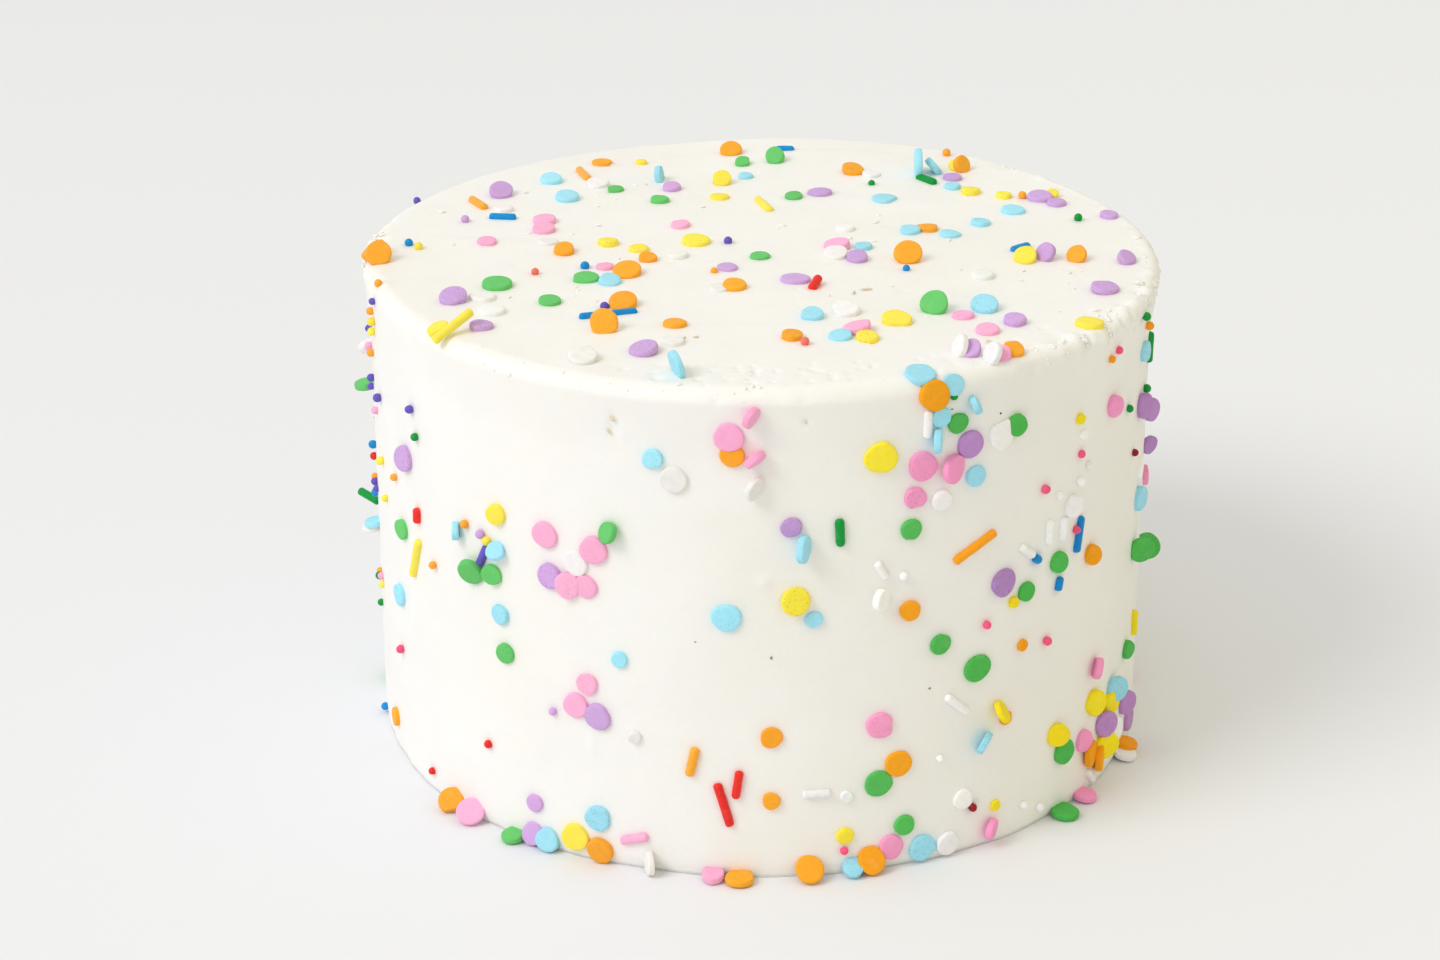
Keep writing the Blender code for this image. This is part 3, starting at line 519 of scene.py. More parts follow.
def soft_bump(points, centre, size):
    """1 at the centre, falling smoothly to 0; size is one number or one for each axis, in mm."""
    away = (points - centre) / size
    return np.exp(-np.sum(away * away, axis=1))


def knife_relief(points):
    """Each stroke leaves a shallow trough with a fine ridge along one edge."""
    relief = np.zeros(len(points))
    for right, back, direction, length, width, height in KNIFE_STROKES:
        way = radians(direction)
        x = points[:, 0] - right
        y = points[:, 1] - back
        along = x * cos(way) + y * sin(way)
        across = y * cos(way) - x * sin(way) + along * along / (4.0 * length)
        ends = smooth((0.5 * length - np.abs(along)) / (0.3 * length))
        trough = -0.5 * height * np.exp(-(across / width) ** 2)
        edge = height * np.exp(-np.where(across < width, (across - width) / 0.5 / width,
                                         (across - width) / 0.9) ** 2)
        relief += ends * (trough + edge)
    return relief


def side_marks_relief(points):
    relief = np.zeros(len(points))
    for degrees, height, across, up, depth in SIDE_MARKS:
        turn = radians(degrees)
        middle = np.array(outward(turn)) * side_radius(turn, height * MM) / MM
        along = (points[:, 0] - middle[0]) * cos(turn) + (points[:, 1] - middle[1]) * sin(turn)
        inward = (points[:, 0] * sin(turn) - points[:, 1] * cos(turn)) > 0.0
        away = (along / across) ** 2 + ((points[:, 2] - height) / up) ** 2
        relief -= depth * np.exp(-away) * inward
    return relief


def dimple_relief(points):
    """Burst bubbles on the top near the front, and a few all over."""
    chooser = random.Random(DIMPLE_SEED)
    relief = np.zeros(len(points))
    for number in range(DIMPLES):
        if number < 0.7 * DIMPLES:
            turn = radians(chooser.gauss(5.0, 17.0))
            reach = chooser.uniform(70.5, 81.5)
        else:
            turn = chooser.uniform(0.0, 2.0 * pi)
            reach = 81.0 * sqrt(chooser.random())
        x = reach * sin(turn)
        y = -reach * cos(turn)
        centre = np.array((x, y, top_height(x * MM, y * MM) / MM))
        relief -= chooser.uniform(0.2, 0.65) * soft_bump(points, centre, chooser.uniform(0.4, 0.8))
    return relief


def lump_relief(points):
    """Torn and crumbly stretches of the rim, and a few soft lumps elsewhere round it."""
    chooser = random.Random(LUMP_SEED)
    relief = np.zeros(len(points))
    for middle, spread, count, strongest in LUMP_STRETCHES:
        for _ in range(count):
            turn = radians(chooser.gauss(middle, spread))
            point = np.array(rim_point(turn, chooser.uniform(0.0, 0.5 * pi))) / MM
            point[2] -= max(chooser.gauss(0.0, 1.0), 0.0)
            strength = strongest * chooser.choice((-1.0, -0.7, -0.4, 0.3, 0.45, 0.6))
            relief += strength * soft_bump(points, point, chooser.uniform(0.6, 1.6))
    return relief


def frosting_relief(points, facing):
    """How far the frosting stands out of its smooth form at each point, in mm."""
    relief = sum(height * ripples(points / size, seed) for size, height, seed in SOFT_RELIEF)
    turn = np.arctan2(points[:, 0], -points[:, 1])
    streak = np.column_stack([np.cos(turn), np.sin(turn), points[:, 2] / SCRAPER_WIDTH])
    streak[:, :2] *= CAKE_RADIUS / MM / SCRAPER_LENGTH
    upright = 1.0 - facing[:, 2]
    relief += SCRAPER_HEIGHT * ripples(streak, 4) * upright
    relief += knife_relief(points) * smooth(facing[:, 2] * 4.0 - 3.0)
    relief += side_marks_relief(points) * upright
    relief += dimple_relief(points) * smooth(facing[:, 2] * 2.0)
    relief += lump_relief(points)
    level = np.hypot(facing[:, 0], facing[:, 1])
    on_right = smooth((np.sin(turn) - 0.25) / 0.5)
    relief += EDGE_CRISPNESS * on_right * (2.0 * level * np.maximum(facing[:, 2], 0.0)) ** 1.5
    foot = np.exp(-(points[:, 2] / FOOT_TUCK_HEIGHT) ** 2)
    relief -= FOOT_TUCK * foot * (1.0 + 0.7 * ripples(points / 5.0, 6))
    return relief


def cream_with_painted_bounce(points, sprinkles):
    """The frosting's colour at each point, with painted bounce light: a faint tint of each sprinkle's colour
    on the frosting round it.
    """
    colour = np.tile(np.array(CREAM), (len(points), 1))
    mottle = 1.0 + 0.010 * ripples(points / 14.0, 9) + 0.006 * ripples(points / 4.0, 10)
    colour *= mottle[:, None]
    # Painted bounce light: each sprinkle's colour spreads faintly onto the frosting round it; white ones add
    # none
    for paint, place, radius in sprinkles:
        if paint == "white":
            continue
        away = np.linalg.norm(points - np.array(place) / MM, axis=1) / (radius / MM + 0.9)
        amount = 0.30 * np.exp(-away ** 4)
        colour += amount[:, None] * (np.array(PAINTS[paint]) - colour) * 0.5
    return colour


def make_frosting(sprinkles):
    rings = frosting_rings()
    middles = np.array([[0.0, 0.0, float(top_height(0.0, 0.0))], [0.0, 0.0, 0.0]])
    points = np.vstack([ring_points for ring_points, _ in rings] + [middles])
    facing = np.vstack([ring_facing for _, ring_facing in rings] + [[[0.0, 0.0, 1.0], [0.0, 0.0, -1.0]]])
    numbers = []
    start = 0
    for ring_points, _ in rings:
        numbers.append(range(start, start + len(ring_points)))
        start += len(ring_points)
    faces = []
    for lower, upper in zip(numbers, numbers[1:]):
        faces += band_faces(lower, upper)
    inner = numbers[-1]
    outer = numbers[0]
    faces += [(inner[i], inner[(i + 1) % len(inner)], start) for i in range(len(inner))]
    faces += [(outer[(i + 1) % COLUMNS], outer[i], start + 1) for i in range(COLUMNS)]
    relief = frosting_relief(points / MM, facing)
    relief[-1] = 0.0
    points = points + facing * relief[:, None] * MM
    mesh = bpy.data.meshes.new("frosting")
    mesh.from_pydata(points.tolist(), [], faces)
    mesh.shade_smooth()
    paint_points(mesh, "cream_colour", cream_with_painted_bounce(points / MM, sprinkles))
    return link_piece("frosting", mesh)


# Meshes and objects

def paint_points(mesh, name, colours):
    layer = mesh.color_attributes.new(name, "FLOAT_COLOR", "POINT")
    flat = np.column_stack([np.clip(colours, 0.0, 1.0), np.ones(len(colours))])
    layer.data.foreach_set("color", flat.ravel().astype(np.float32))


def link_piece(name, mesh):
    piece = bpy.data.objects.new(name, mesh)
    scene.collection.objects.link(piece)
    return piece


# Where sprinkles lie. A frame is a point of the frosting with its outward normal and two directions along
# the surface: to the right, and up the side or back across the top.

def top_frame(right, back):
    x = right * MM
    y = back * MM
    turn = atan2(x, -y)
    flat = float(rim_reach(turn, 0.5 * pi))
    reach = hypot(x, y)
    if reach <= flat:
        point = Vector((x, y, float(top_height(x, y))))
        return point, Vector((0, 0, 1)), Vector((1, 0, 0)), Vector((0, 1, 0))
    angle = acos(min((reach - flat) / RIM_ROUNDING, 1.0))
    normal = tilted(turn, angle)
    along = Vector((0, 1, 0)).cross(normal).normalized()
    return rim_point(turn, angle), normal, along, normal.cross(along)


def upright_frame(turn, angle, point):
    normal = tilted(turn, angle)
    along = Vector((cos(turn), sin(turn), 0.0))
    return point, normal, along, normal.cross(along)


def side_frame(degrees_round, height_mm):
    turn = radians(degrees_round)
    height = height_mm * MM
    angle = 0.0
    point = outward(turn) * float(side_radius(turn, height)) + Vector((0, 0, height))
    if height > SHOULDER:
        angle = asin(min((height - SHOULDER) / RIM_ROUNDING, 1.0))
        point = rim_point(turn, angle)
    return upright_frame(turn, angle, point)


def back_places(chooser, count, low, high):
    """Places on the far side, each the one of several candidates that is furthest from the rest."""
    chosen = []
    for _ in range(count):
        best = None
        best_gap = -1.0
        for _ in range(CANDIDATES):
            spot = (chooser.uniform(BACK_FROM, BACK_TO), chooser.uniform(low, high))
            gap = min((hypot((spot[0] - a) * radians(1) * CAKE_RADIUS / MM, spot[1] - h)
                       for a, h in chosen), default=0.0)
            if gap > best_gap:
                best_gap = gap
                best = spot
        chosen.append(best)
    return chosen


def back_sprinkles():
    """Confetti and rods of the far side, in the same form as the listed ones."""
    chooser = random.Random(BACK_SEED)
    confetti = []
    rods = []
    for turn, height in back_places(chooser, BACK_CONFETTI, BACK_LOW, BACK_HIGH):
        lean = chooser.choice(BACK_LEANS)
        width = chooser.choice(CONFETTI_WIDTHS)
        colour = chooser.choice(CONFETTI_COLOURS)
        confetti.append((colour, (turn, height, width, lean, chooser.uniform(0, 360))))
    for turn, _ in back_places(chooser, BACK_FOOT_CONFETTI, 0.0, 1.0):
        width = chooser.choice(CONFETTI_WIDTHS)
        height = 0.5 * width + 0.4
        confetti.append((chooser.choice(CONFETTI_COLOURS), (turn, height, width, 10, 90)))
    for turn, height in back_places(chooser, BACK_RODS, BACK_LOW, BACK_HIGH):
        length = chooser.choice(ROD_LENGTHS)
        rods.append((chooser.choice(ROD_COLOURS), (turn, height, length, chooser.uniform(0, 180), 0)))
    return confetti, rods


def with_places(top, side, back):
    """All sprinkles of a kind, each as its colour, the function that gives its frame, and its row."""
    rows = [(colour, top_frame, row) for colour, group in top.items() for row in group]
    rows += [(colour, side_frame, row) for colour, group in side.items() for row in group]
    return rows + [(colour, side_frame, row) for colour, row in back]


def back_beads():
    chooser = random.Random(BACK_BEAD_SEED)
    places = back_places(chooser, BACK_BEADS, 2.0, BACK_HIGH)
    return [(chooser.choice(BEAD_COLOURS), place) for place in places]


def axes_matrix(first, second, third, origin):
    turned = Matrix((first, second, third)).transposed().to_4x4()
    turned.translation = origin
    return turned


# A heap of small closed shapes that becomes one mesh

class Heap:
    def __init__(self):
        self.points = []
        self.faces = []
        self.colours = []
        self.pores = []
        self.count = 0

    def add(self, points, rings, columns, colour, pores=0.0):
        """A closed shape of rings with a pole at each end: the points hold pole, rings, pole."""
        first = self.count
        ring_start = [first + 1 + ring * columns for ring in range(rings)]
        last = first + 1 + rings * columns
        for i in range(columns):
            j = (i + 1) % columns
            self.faces.append((first, ring_start[0] + i, ring_start[0] + j))
            for lower, upper in zip(ring_start, ring_start[1:]):
                self.faces.append((lower + i, upper + i, upper + j, lower + j))
            self.faces.append((ring_start[-1] + i, last, ring_start[-1] + j))
        self.points.append(points)
        self.colours.append(np.tile(colour, (len(points), 1)))
        self.pores.append(np.full(len(points), pores))
        self.count += len(points)

    def make(self, name):
        mesh = bpy.data.meshes.new(name)
        mesh.from_pydata(np.vstack(self.points).tolist(), [], self.faces)
        mesh.shade_smooth()
        paint_points(mesh, "sugar_colour", np.vstack(self.colours))
        pores = mesh.attributes.new("pores", "FLOAT", "POINT")
        pores.data.foreach_set("value", np.concatenate(self.pores).astype(np.float32))
        return link_piece(name, mesh)


def placed_points(points, place):
    """Moves a shape to its place, and lifts it where it would reach under the foot."""
    turned = points @ np.array(place.to_3x3()).T + np.array(place.translation)
    lowest = turned[:, 2].min()
    if lowest < FOOT_CLEARANCE:
        turned[:, 2] += FOOT_CLEARANCE - lowest
    return turned


def tone_and_painted_light(chooser, name, normal):
    """A sprinkle's own random tone of its colour, with painted light: mixed towards its lit copy, paler for
    most colours, where the frosting under it faces the light.
    """
    lit = float(smooth(normal.dot(Vector(TO_LIGHT)) / 0.62))
    base = np.array(PAINTS[name])
    # Painted light: the colour moves towards its lit copy as the frosting under it turns to the light
    paint = base + lit * (np.array(PAINTED_LIGHT_PAINTS.get(name, PAINTS[name])) - base)
    shade = 1.0 + chooser.uniform(-SHADE_SPREAD, SHADE_SPREAD)
    return np.array([min(channel * shade * (1.0 + chooser.uniform(-0.02, 0.02)), 1.0) for channel in paint])


def even_turns(columns):
    return 2.0 * pi * np.arange(columns) / columns


def turned_points(turn, half, profile):
    """A pole at each end and between them a ring for each (reach, height) of the profile."""
    rows = [[[0.0, 0.0, half]]]
    for reach, height in profile:
        level = np.full(len(turn), height)
        rows.append(np.column_stack([reach * np.cos(turn), reach * np.sin(turn), level]))
    return np.vstack(rows + [[[0.0, 0.0, -half]]])


def own_shift(chooser):
    """Takes each sprinkle to a stretch of the noise of its own."""
    return np.array([chooser.uniform(0.0, 90.0) for _ in range(3)])


# A disc's profile from the middle of one face to the middle of the other: (share of the radius, share of
# the half thickness)
DISC_PROFILE = (
    (0.45, 1.0), (0.78, 0.99), (0.90, 0.95), (0.96, 0.84), (0.99, 0.62), (1.0, 0.30),
    (1.0, -0.30), (0.99, -0.62), (0.96, -0.84), (0.90, -0.95), (0.78, -0.99), (0.45, -1.0),
)
DISC_COLUMNS = 24
# How far its outline wavers: (waves round it, the most as a share of the radius)
DISC_LOBES = ((2, 0.055), (3, 0.040), (5, 0.015))
CHIPPED_SHARE = 0.22
PORE_AMOUNTS = (0.0, 0.0, 0.3, 0.5, 0.9)
SETTLED_LEAN = 3.5


def disc_points(width, chooser):
    """One sugar disc with its axis along Z, a little out of round, domed or dished, and uneven."""
    turn = even_turns(DISC_COLUMNS)
    outline = np.ones(DISC_COLUMNS)
    for lobes, most in DISC_LOBES:
        outline += chooser.uniform(0.0, most) * np.cos(lobes * turn + chooser.uniform(0.0, 2.0 * pi))
    if chooser.random() < CHIPPED_SHARE:
        cut = chooser.uniform(0.0, 2.0 * pi)
        flat = chooser.uniform(0.80, 0.93)
        facing = np.cos(turn - cut)
        outline = np.minimum(outline, np.where(facing > 0.2, flat / np.maximum(facing, 0.2), 9.0))
    outline *= 0.5 * width
    half = 0.5 * CONFETTI_THICKNESS * chooser.uniform(0.88, 1.08)
    dome = chooser.uniform(-0.10, 0.14)
    warp = chooser.uniform(-0.05, 0.05)
    warp_turn = chooser.uniform(0.0, pi)
    profile = []
    for reach, level in DISC_PROFILE:
        rise = half * level * (1.0 + dome * (1.0 - reach * reach))
        height = rise + half * warp * reach * reach * np.cos(2.0 * (turn - warp_turn))
        profile.append((outline * reach, height))
    points = turned_points(turn, half * (1.0 + dome), profile)
    shift = own_shift(chooser)
    rough = 0.028 * ripples(points / MM / 0.9 + shift, 12) + 0.05 * ripples(points / MM / 2.4 + shift, 13)
    away = points / np.maximum(np.linalg.norm(points, axis=1), 1e-9)[:, None]
    return points + away * rough[:, None] * MM


def make_confetti(rows):
    chooser = random.Random(CONFETTI_SEED)
    heap = Heap()
    places = []
    for colour, frame_of, row in rows:
        width = row[2] * MM
        leaning = len(row) > 3 and row[3] > 0
        lean, way = (radians(row[3]), radians(row[4])) if len(row) > 3 else (0.0, 0.0)
        if not leaning:
            lean = radians(abs(chooser.gauss(0.0, SETTLED_LEAN)))
            way = chooser.uniform(0.0, 2.0 * pi)
        point, normal, along, beside = frame_of(row[0], row[1])
        direction = along * cos(way) + beside * sin(way)
        axis = normal * cos(lean) + direction * sin(lean)
        flat = direction * cos(lean) - normal * sin(lean)
        sunk = SUNK + (SUNK_ON_EDGE - SUNK) * sin(lean)
        rise = 0.5 * width * sin(lean) + 0.5 * CONFETTI_THICKNESS * cos(lean) - sunk
        if not leaning:
            rise = 0.5 * CONFETTI_THICKNESS - sunk
        place = axes_matrix(flat, axis.cross(flat), axis, point + normal * rise)
        points = placed_points(disc_points(width, chooser), place)
        paint = tone_and_painted_light(chooser, colour, normal)
        pores = chooser.choice(PORE_AMOUNTS)
        heap.add(points, len(DISC_PROFILE), DISC_COLUMNS, paint, 0.0 if colour == "white" else pores)
        places.append((colour, point, 0.5 * width * cos(lean)))
    return heap.make("confetti"), places


ROD_COLUMNS = 14
ROD_ROWS = 10
ROD_END_ROWS = 4


def rod_points(length, chooser):
    """One sugar rod along Z: round ends, a slight bend and an uneven thickness."""
    radius = 0.5 * ROD_DIAMETER * chooser.uniform(0.94, 1.03)
    blunt = chooser.uniform(0.55, 0.9) * radius
    body = 0.5 * length - blunt
    levels = []
    for row in range(1, ROD_END_ROWS + 1):
        angle = 0.5 * pi * row / ROD_END_ROWS
        levels.append((body + blunt * cos(angle), sin(angle) ** 0.8))
    for row in range(1, ROD_ROWS):
        levels.append((body * (1.0 - 2.0 * row / ROD_ROWS), 1.0))
    levels += [(-height, share) for height, share in reversed(levels[:ROD_END_ROWS])]
    profile = [(radius * share, height) for height, share in levels]
    points = turned_points(even_turns(ROD_COLUMNS), 0.5 * length, profile)
    shift = own_shift(chooser)
    rough = 1.0 + 0.05 * ripples(points / MM / 1.6 + shift, 14)
    points[:, :2] *= rough[:, None]
    bend = chooser.uniform(-0.03, 0.03) / length
    bend_turn = chooser.uniform(0.0, 2.0 * pi)
    bow = bend * (points[:, 2] ** 2 - (0.35 * length) ** 2)
    points[:, 0] += bow * cos(bend_turn)
    points[:, 1] += bow * sin(bend_turn)
    return points, len(levels)


def make_rods(rows):
    chooser = random.Random(ROD_SEED)
    heap = Heap()
    places = []
    for colour, frame_of, (across, up_or_back, length_mm, points_to, rises) in rows:
        way = radians(points_to)
        rise = radians(rises)
        length = length_mm * MM
        point, normal, along, beside = frame_of(across, up_or_back)
        direction = along * cos(way) + beside * sin(way)
        axis = direction * cos(rise) + normal * sin(rise)
        upright = normal * cos(rise) - direction * sin(rise)
        lift = 0.5 * ROD_DIAMETER - SUNK + 0.5 * length * sin(rise) * 0.8
        place = axes_matrix(upright, axis.cross(upright), axis, point + normal * lift)
        shape, rings = rod_points(length, chooser)
        points = placed_points(shape, place)
        heap.add(points, rings, ROD_COLUMNS, tone_and_painted_light(chooser, colour, normal))
        for step in (-0.35, 0.0, 0.35):
            places.append((colour, point + direction * step * length, 0.8 * MM))
    return heap.make("rods"), places


BEAD_COLUMNS = 16
BEAD_ROWS = 9


def bead_points(diameter, chooser):
    radius = 0.5 * diameter
    angles = [pi * row / (BEAD_ROWS + 1) for row in range(1, BEAD_ROWS + 1)]
    profile = [(radius * sin(angle), radius * cos(angle)) for angle in angles]
    points = turned_points(even_turns(BEAD_COLUMNS), radius, profile)
    shift = own_shift(chooser)
    return points * (1.0 + 0.07 * ripples(points / MM / 1.1 + shift, 15))[:, None]


def make_beads(rows):
    chooser = random.Random(BEAD_SEED)
    heap = Heap()
    places = []
    for colour, frame_of, (across, up_or_back) in rows:
        point, normal, along, beside = frame_of(across, up_or_back)
        diameter = BEAD_DIAMETER * chooser.uniform(0.86, 1.12)
        place = axes_matrix(along, beside, normal, point + normal * (0.5 * diameter - BEAD_SUNK))
        points = placed_points(bead_points(diameter, chooser), place)
        heap.add(points, BEAD_ROWS, BEAD_COLUMNS, tone_and_painted_light(chooser, colour, normal))
        places.append((colour, point, 0.5 * diameter))
    return heap.make("beads"), places


def frosting_crumbs():
    """Crumbs of frosting by a rule: each has its frame, length and width in mm."""
    chooser = random.Random(RIM_CRUMB_SEED)
    crumbs = []
    for first, last, count, longest in RIM_CRUMBS:
        for _ in range(count):
            turn = radians(chooser.uniform(first, last))
            angle = chooser.uniform(0.25, 1.5)
            frame_here = upright_frame(turn, angle, rim_point(turn, angle))
            length = longest * chooser.uniform(0.3, 1.0) ** 1.5
            crumbs.append((frame_here, length, length * chooser.uniform(0.5, 0.9)))
    for right, back, spread, count, longest in TOP_CRUMB_PATCHES:
        for _ in range(count):
            frame_here = top_frame(chooser.gauss(right, 0.6 * spread), chooser.gauss(back, 0.6 * spread))
            length = longest * chooser.uniform(0.3, 1.0)
            crumbs.append((frame_here, length, length * chooser.uniform(0.4, 0.7)))
    return crumbs


def make_crumbs():
    """Shards of cake, toasted specks and crumbs of frosting that lie on the cake, and two beige marks of
    painted shadow on the top.
    """
    chooser = random.Random(CRUMB_SEED)
    heap = Heap()
    rows = [(row, top_frame) for row in TOP_CRUMBS] + [(row, side_frame) for row in SIDE_CRUMBS]
    crumbs = [(colour, frame_of(across, up_or_back), length, width)
              for (colour, across, up_or_back, length, width), frame_of in rows]
    crumbs += [("cream", *crumb) for crumb in frosting_crumbs()]
    for colour, (point, normal, along, beside), length, width in crumbs:
        way = chooser.uniform(0.0, pi)
        direction = along * cos(way) + beside * sin(way)
        place = axes_matrix(direction, normal.cross(direction), normal, point + normal * 0.12 * width * MM)
        shape = bead_points(1.0 * MM, chooser) * np.array((length, width, 0.6 * width))
        shape *= (1.0 + 0.35 * ripples(shape / MM / 0.45 + chooser.uniform(0.0, 50.0), 16))[:, None]
        points = placed_points(shape, place)
        paint = PAINTS["cream"] if colour == "cream" else tone_and_painted_light(chooser, colour, normal)
        heap.add(points, BEAD_ROWS, BEAD_COLUMNS, paint)
    return heap.make("crumbs")


# Materials

class Nodes:
    """A node tree, with short ways to add nodes to it and to feed their inputs."""

    def __init__(self, tree, main):
        self.tree = tree
        self.main = tree.nodes[main]
        self.coordinates = None

    def feed(self, node, values):
        """Each input, by its name or number, gets a number, a colour or the output of another node."""
        for name, value in values.items():
            socket = node.inputs[name]
            if isinstance(value, bpy.types.NodeSocket):
                self.tree.links.new(value, socket)
            else:
                socket.default_value = (*value, 1.0) if socket.type == "RGBA" else value

    def add(self, kind, values, **settings):
        node = self.tree.nodes.new(kind)
        for name, value in settings.items():
            setattr(node, name, value)
        self.feed(node, values)
        return node

    def place(self, kind="Object"):
        if self.coordinates is None:
            self.coordinates = self.add("ShaderNodeTexCoord", {})
        return self.coordinates.outputs[kind]

    def axes(self, kind="Object"):
        return self.add("ShaderNodeSeparateXYZ", {"Vector": self.place(kind)}).outputs

    def attribute(self, name):
        return self.add("ShaderNodeAttribute", {}, attribute_name=name).outputs

    def noise(self, scale, detail=2.0, roughness=0.5):
        values = {"Vector": self.place(), "Scale": scale, "Detail": detail, "Roughness": roughness}
        return self.add("ShaderNodeTexNoise", values).outputs["Fac"]

    def cells(self, scale):
        """How far each point lies from the middle of its cell."""
        return self.add("ShaderNodeTexVoronoi", {"Vector": self.place(), "Scale": scale}).outputs["Distance"]

    def spread(self, value, low, high, to_low, to_high):
        values = {"Value": value, "From Min": low, "From Max": high, "To Min": to_low, "To Max": to_high}
        return self.add("ShaderNodeMapRange", values).outputs["Result"]

    def mottle(self, low, high, scale, detail=2.0, roughness=0.5):
        """Noise that wanders between two values."""
        return self.spread(self.noise(scale, detail, roughness), 0.3, 0.7, low, high)

    def product(self, first, second):
        return self.add("ShaderNodeMath", {0: first, 1: second}, operation="MULTIPLY").outputs["Value"]

    def scaled(self, colour, amount):
        """The colour times a grey amount."""
        values = {"Vector": colour, "Scale": amount}
        return self.add("ShaderNodeVectorMath", values, operation="SCALE").outputs["Vector"]

    def mixed(self, amount, first, second):
        values = {"Factor": amount, 6: first, 7: second}
        return self.add("ShaderNodeMix", values, data_type="RGBA").outputs[2]

    def bump(self, height, strength, distance, before=None):
        values = {"Height": height, "Strength": strength, "Distance": distance}
        if before is not None:
            values["Normal"] = before
        return self.add("ShaderNodeBump", values).outputs["Normal"]


def new_material(name):
    material = bpy.data.materials.new(name)
    material.use_nodes = True
    return material, Nodes(material.node_tree, "Principled BSDF")


def frosting_material():
    """Buttercream: off-white, a little translucent, with fine grain, pin holes and a soft gloss."""
    material, made = new_material("frosting_looks")
    grain = made.product(made.mottle(0.985, 1.012, 55.0, 3.0), made.mottle(0.992, 1.006, 1400.0))
    colour = made.scaled(made.attribute("cream_colour")["Color"], grain)
    warm = made.spread(made.noise(24.0), 0.45, 0.72, 0.0, 0.35)
    holes = made.spread(made.cells(700.0), 0.05, 0.22, 0.0, 1.0)
    fine = made.bump(made.noise(2600.0, 3.0), 0.20, 0.06 * MM)
    rough = made.bump(made.noise(620.0, 3.0), 0.25, 0.12 * MM, fine)
    made.feed(made.main, {
        "Base Color": made.mixed(warm, colour, WARM_CREAM),
        "Roughness": made.mottle(0.40, 0.58, 180.0, 3.0),
        "Normal": made.bump(holes, 0.12, 0.08 * MM, rough),
        "Subsurface Weight": 0.25,
        "Subsurface Radius": (1.0, 0.85, 0.6),
        "Subsurface Scale": 1.6 * MM,
        "Specular IOR Level": 0.35,
    })
    return material


def sugar_material(name, gloss_low, gloss_high, shine, grain_depth):
    """Pressed sugar: its own colour, cloudy, with tiny pores where the disc has them."""
    material, made = new_material(name)
    cloud = made.mottle(0.95, 1.03, 850.0, 3.0, 0.6)
    colour = made.scaled(made.attribute("sugar_colour")["Color"], cloud)
    frost = made.spread(made.noise(420.0), 0.60, 0.85, 0.0, 0.07)
    colour = made.mixed(frost, colour, SUGAR_FROST)
    # Painted shade in the pores: the pits, pushed in by the bump, are also painted darker, down to 0.72 of
    # the colour
    dots = made.spread(made.cells(1500.0), 0.12, 0.30, 1.0, 0.0)
    dots = made.product(dots, made.attribute("pores")["Fac"])
    fine = made.bump(made.noise(3200.0, 3.0, 0.6), 0.35, grain_depth)
    made.feed(made.main, {
        "Base Color": made.scaled(colour, made.spread(dots, 0.0, 1.0, 1.0, 0.72)),
        "Roughness": made.mottle(gloss_low, gloss_high, 900.0),
        "Normal": made.bump(made.spread(dots, 0.0, 1.0, 1.0, 0.0), 0.5, 0.12 * MM, fine),
        "Subsurface Weight": 0.08,
        "Subsurface Radius": (1.0, 1.0, 1.0),
        "Subsurface Scale": 0.4 * MM,
        "Specular IOR Level": shine,
    })
    return material


def crumb_material():
    material, made = new_material("crumb_looks")
    cloud = made.mottle(0.88, 1.08, 2500.0, 3.0)
    made.feed(made.main, {
        "Base Color": made.scaled(made.attribute("sugar_colour")["Color"], cloud),
        "Roughness": made.mottle(0.65, 0.9, 1500.0),
        "Normal": made.bump(made.noise(3500.0, 4.0), 0.6, 0.15 * MM),
    })
    return material


def floor_material():
    """Plain, with painted light and shade: a little darker on the left, where the key light falls brightest,
    and a little lighter on the right.
    """
    material, made = new_material("floor_looks")
    # Painted shade on the left and painted light on the right, across the floor's X
    painted_floor_light = made.spread(made.axes()["X"], -0.35, 0.25, 0.955, 1.005)
    made.feed(made.main, {
        "Base Color": made.scaled(FLOOR_COLOUR, painted_floor_light),
        "Roughness": 0.75,
        "Specular IOR Level": 0.2,
    })
    return material


# Camera, light and floor

def make_camera():
    down = CAMERA_DOWN
    turn = CAMERA_TURN
    ahead = Vector((sin(turn) * cos(down), cos(turn) * cos(down), -sin(down)))
    level = Vector((cos(turn), -sin(turn), 0.0))
    upward = level.cross(ahead)
    right = level * cos(CAMERA_ROLL) + upward * sin(CAMERA_ROLL)
    top = upward * cos(CAMERA_ROLL) - level * sin(CAMERA_ROLL)
    data = bpy.data.cameras.new("camera")
    data.sensor_fit = "HORIZONTAL"
    data.sensor_width = FILM_WIDTH
    data.lens = CAMERA_LENS
    data.clip_start = 0.01
    data.clip_end = 20.0
    camera = bpy.data.objects.new("camera", data)
    camera.matrix_world = axes_matrix(right, top, -ahead, Vector(CAMERA_PLACE))
    scene.collection.objects.link(camera)
    scene.camera = camera


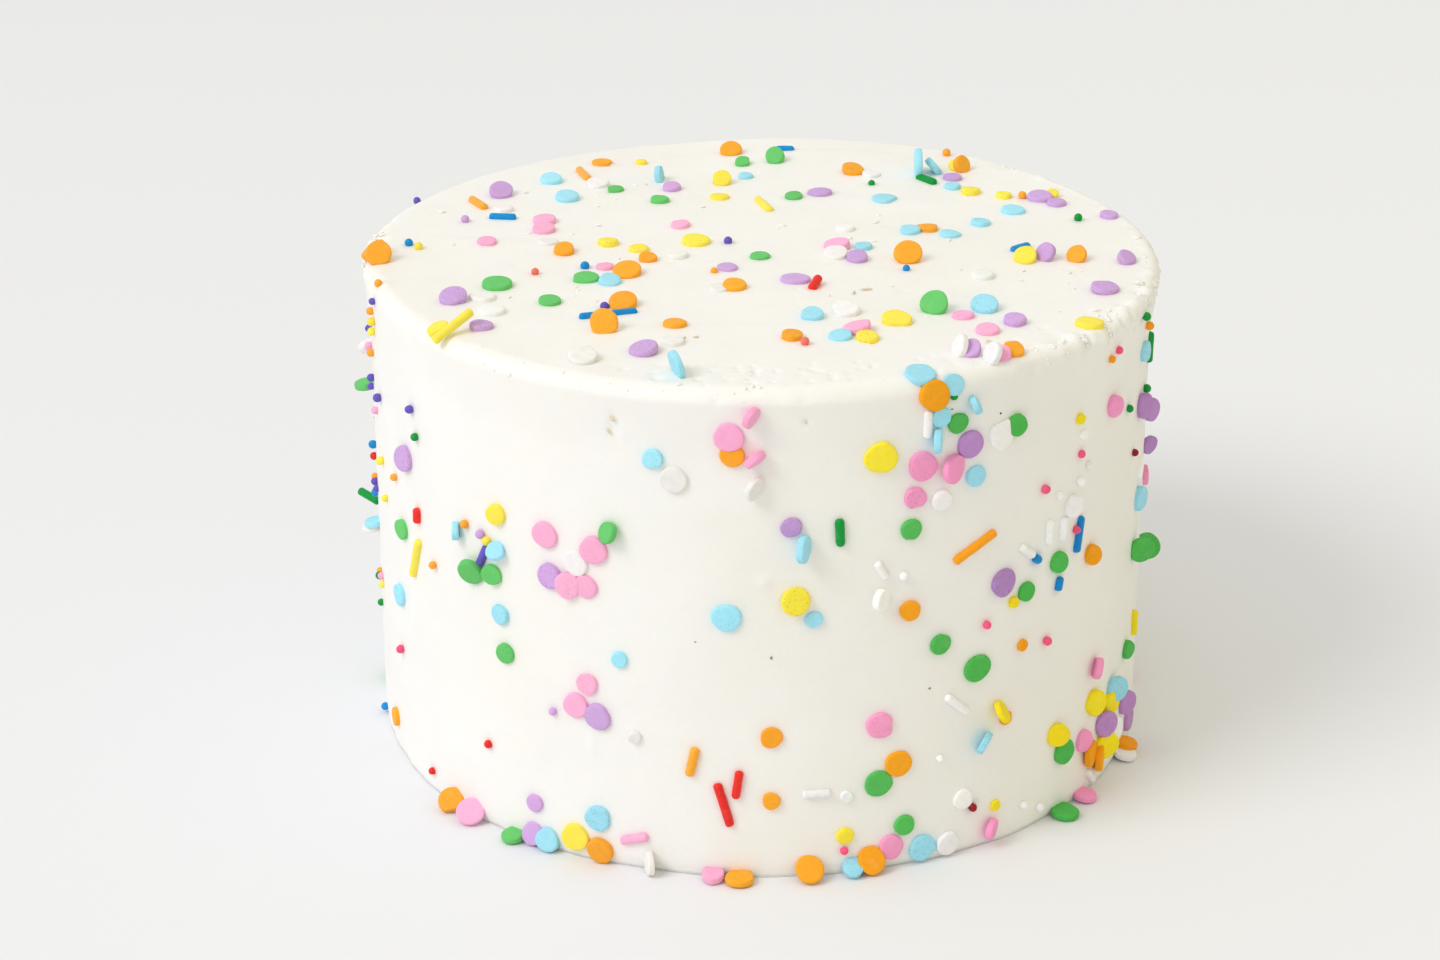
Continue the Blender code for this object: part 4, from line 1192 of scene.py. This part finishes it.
def add_key():
    data = bpy.data.lights.new("key", "AREA")
    data.shape = "DISK"
    data.size = KEY_SIZE
    data.energy = KEY_POWER
    data.color = KEY_COLOUR
    lamp = bpy.data.objects.new("key", data)
    lamp.location = KEY_PLACE
    aim = Vector((0.0, 0.0, 0.5 * CAKE_HEIGHT)) - Vector(KEY_PLACE)
    lamp.rotation_euler = aim.to_track_quat("-Z", "Y").to_euler()
    scene.collection.objects.link(lamp)


def make_stage():
    world = bpy.data.worlds.new("studio")
    world.use_nodes = True
    room = Nodes(world.node_tree, "Background")
    direction = room.axes("Generated")
    across = room.spread(direction["X"], -0.3, 0.8, 0.0, 1.0)
    room.feed(room.main, {
        "Color": room.mixed(across, ROOM_LEFT, ROOM_RIGHT),
        "Strength": room.spread(direction["Z"], 0.0, 1.0, ROOM_HORIZON, ROOM_OVERHEAD),
    })
    scene.world = world
    add_key()
    rim = [(FLOOR_RADIUS * cos(turn), FLOOR_RADIUS * sin(turn), 0.0)
           for turn in even_turns(FLOOR_SIDES).tolist()]
    mesh = bpy.data.meshes.new("floor")
    mesh.from_pydata(rim, [], [tuple(range(FLOOR_SIDES))])
    floor = link_piece("floor", mesh)
    floor.data.materials.append(floor_material())
    scene.view_settings.view_transform = "Standard"


def dress(piece, material):
    piece.data.materials.append(material)
    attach(piece, "root")
    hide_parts(CAKE)


make_camera()
make_stage()
back_confetti, back_rods = back_sprinkles()
confetti, confetti_places = make_confetti(with_places(TOP_CONFETTI, SIDE_CONFETTI, back_confetti))
rods, rod_places = make_rods(with_places(TOP_RODS, SIDE_RODS, back_rods))
beads, bead_places = make_beads(with_places(TOP_BEADS, SIDE_BEADS, back_beads()))
crumbs = make_crumbs()
frosting = make_frosting(confetti_places + rod_places + bead_places)
dress(frosting, frosting_material())
dress(confetti, sugar_material("confetti_looks", 0.45, 0.65, 0.12, 0.05 * MM))
dress(rods, sugar_material("rod_looks", 0.22, 0.38, 0.20, 0.02 * MM))
dress(beads, sugar_material("bead_looks", 0.25, 0.42, 0.20, 0.02 * MM))
dress(crumbs, crumb_material())
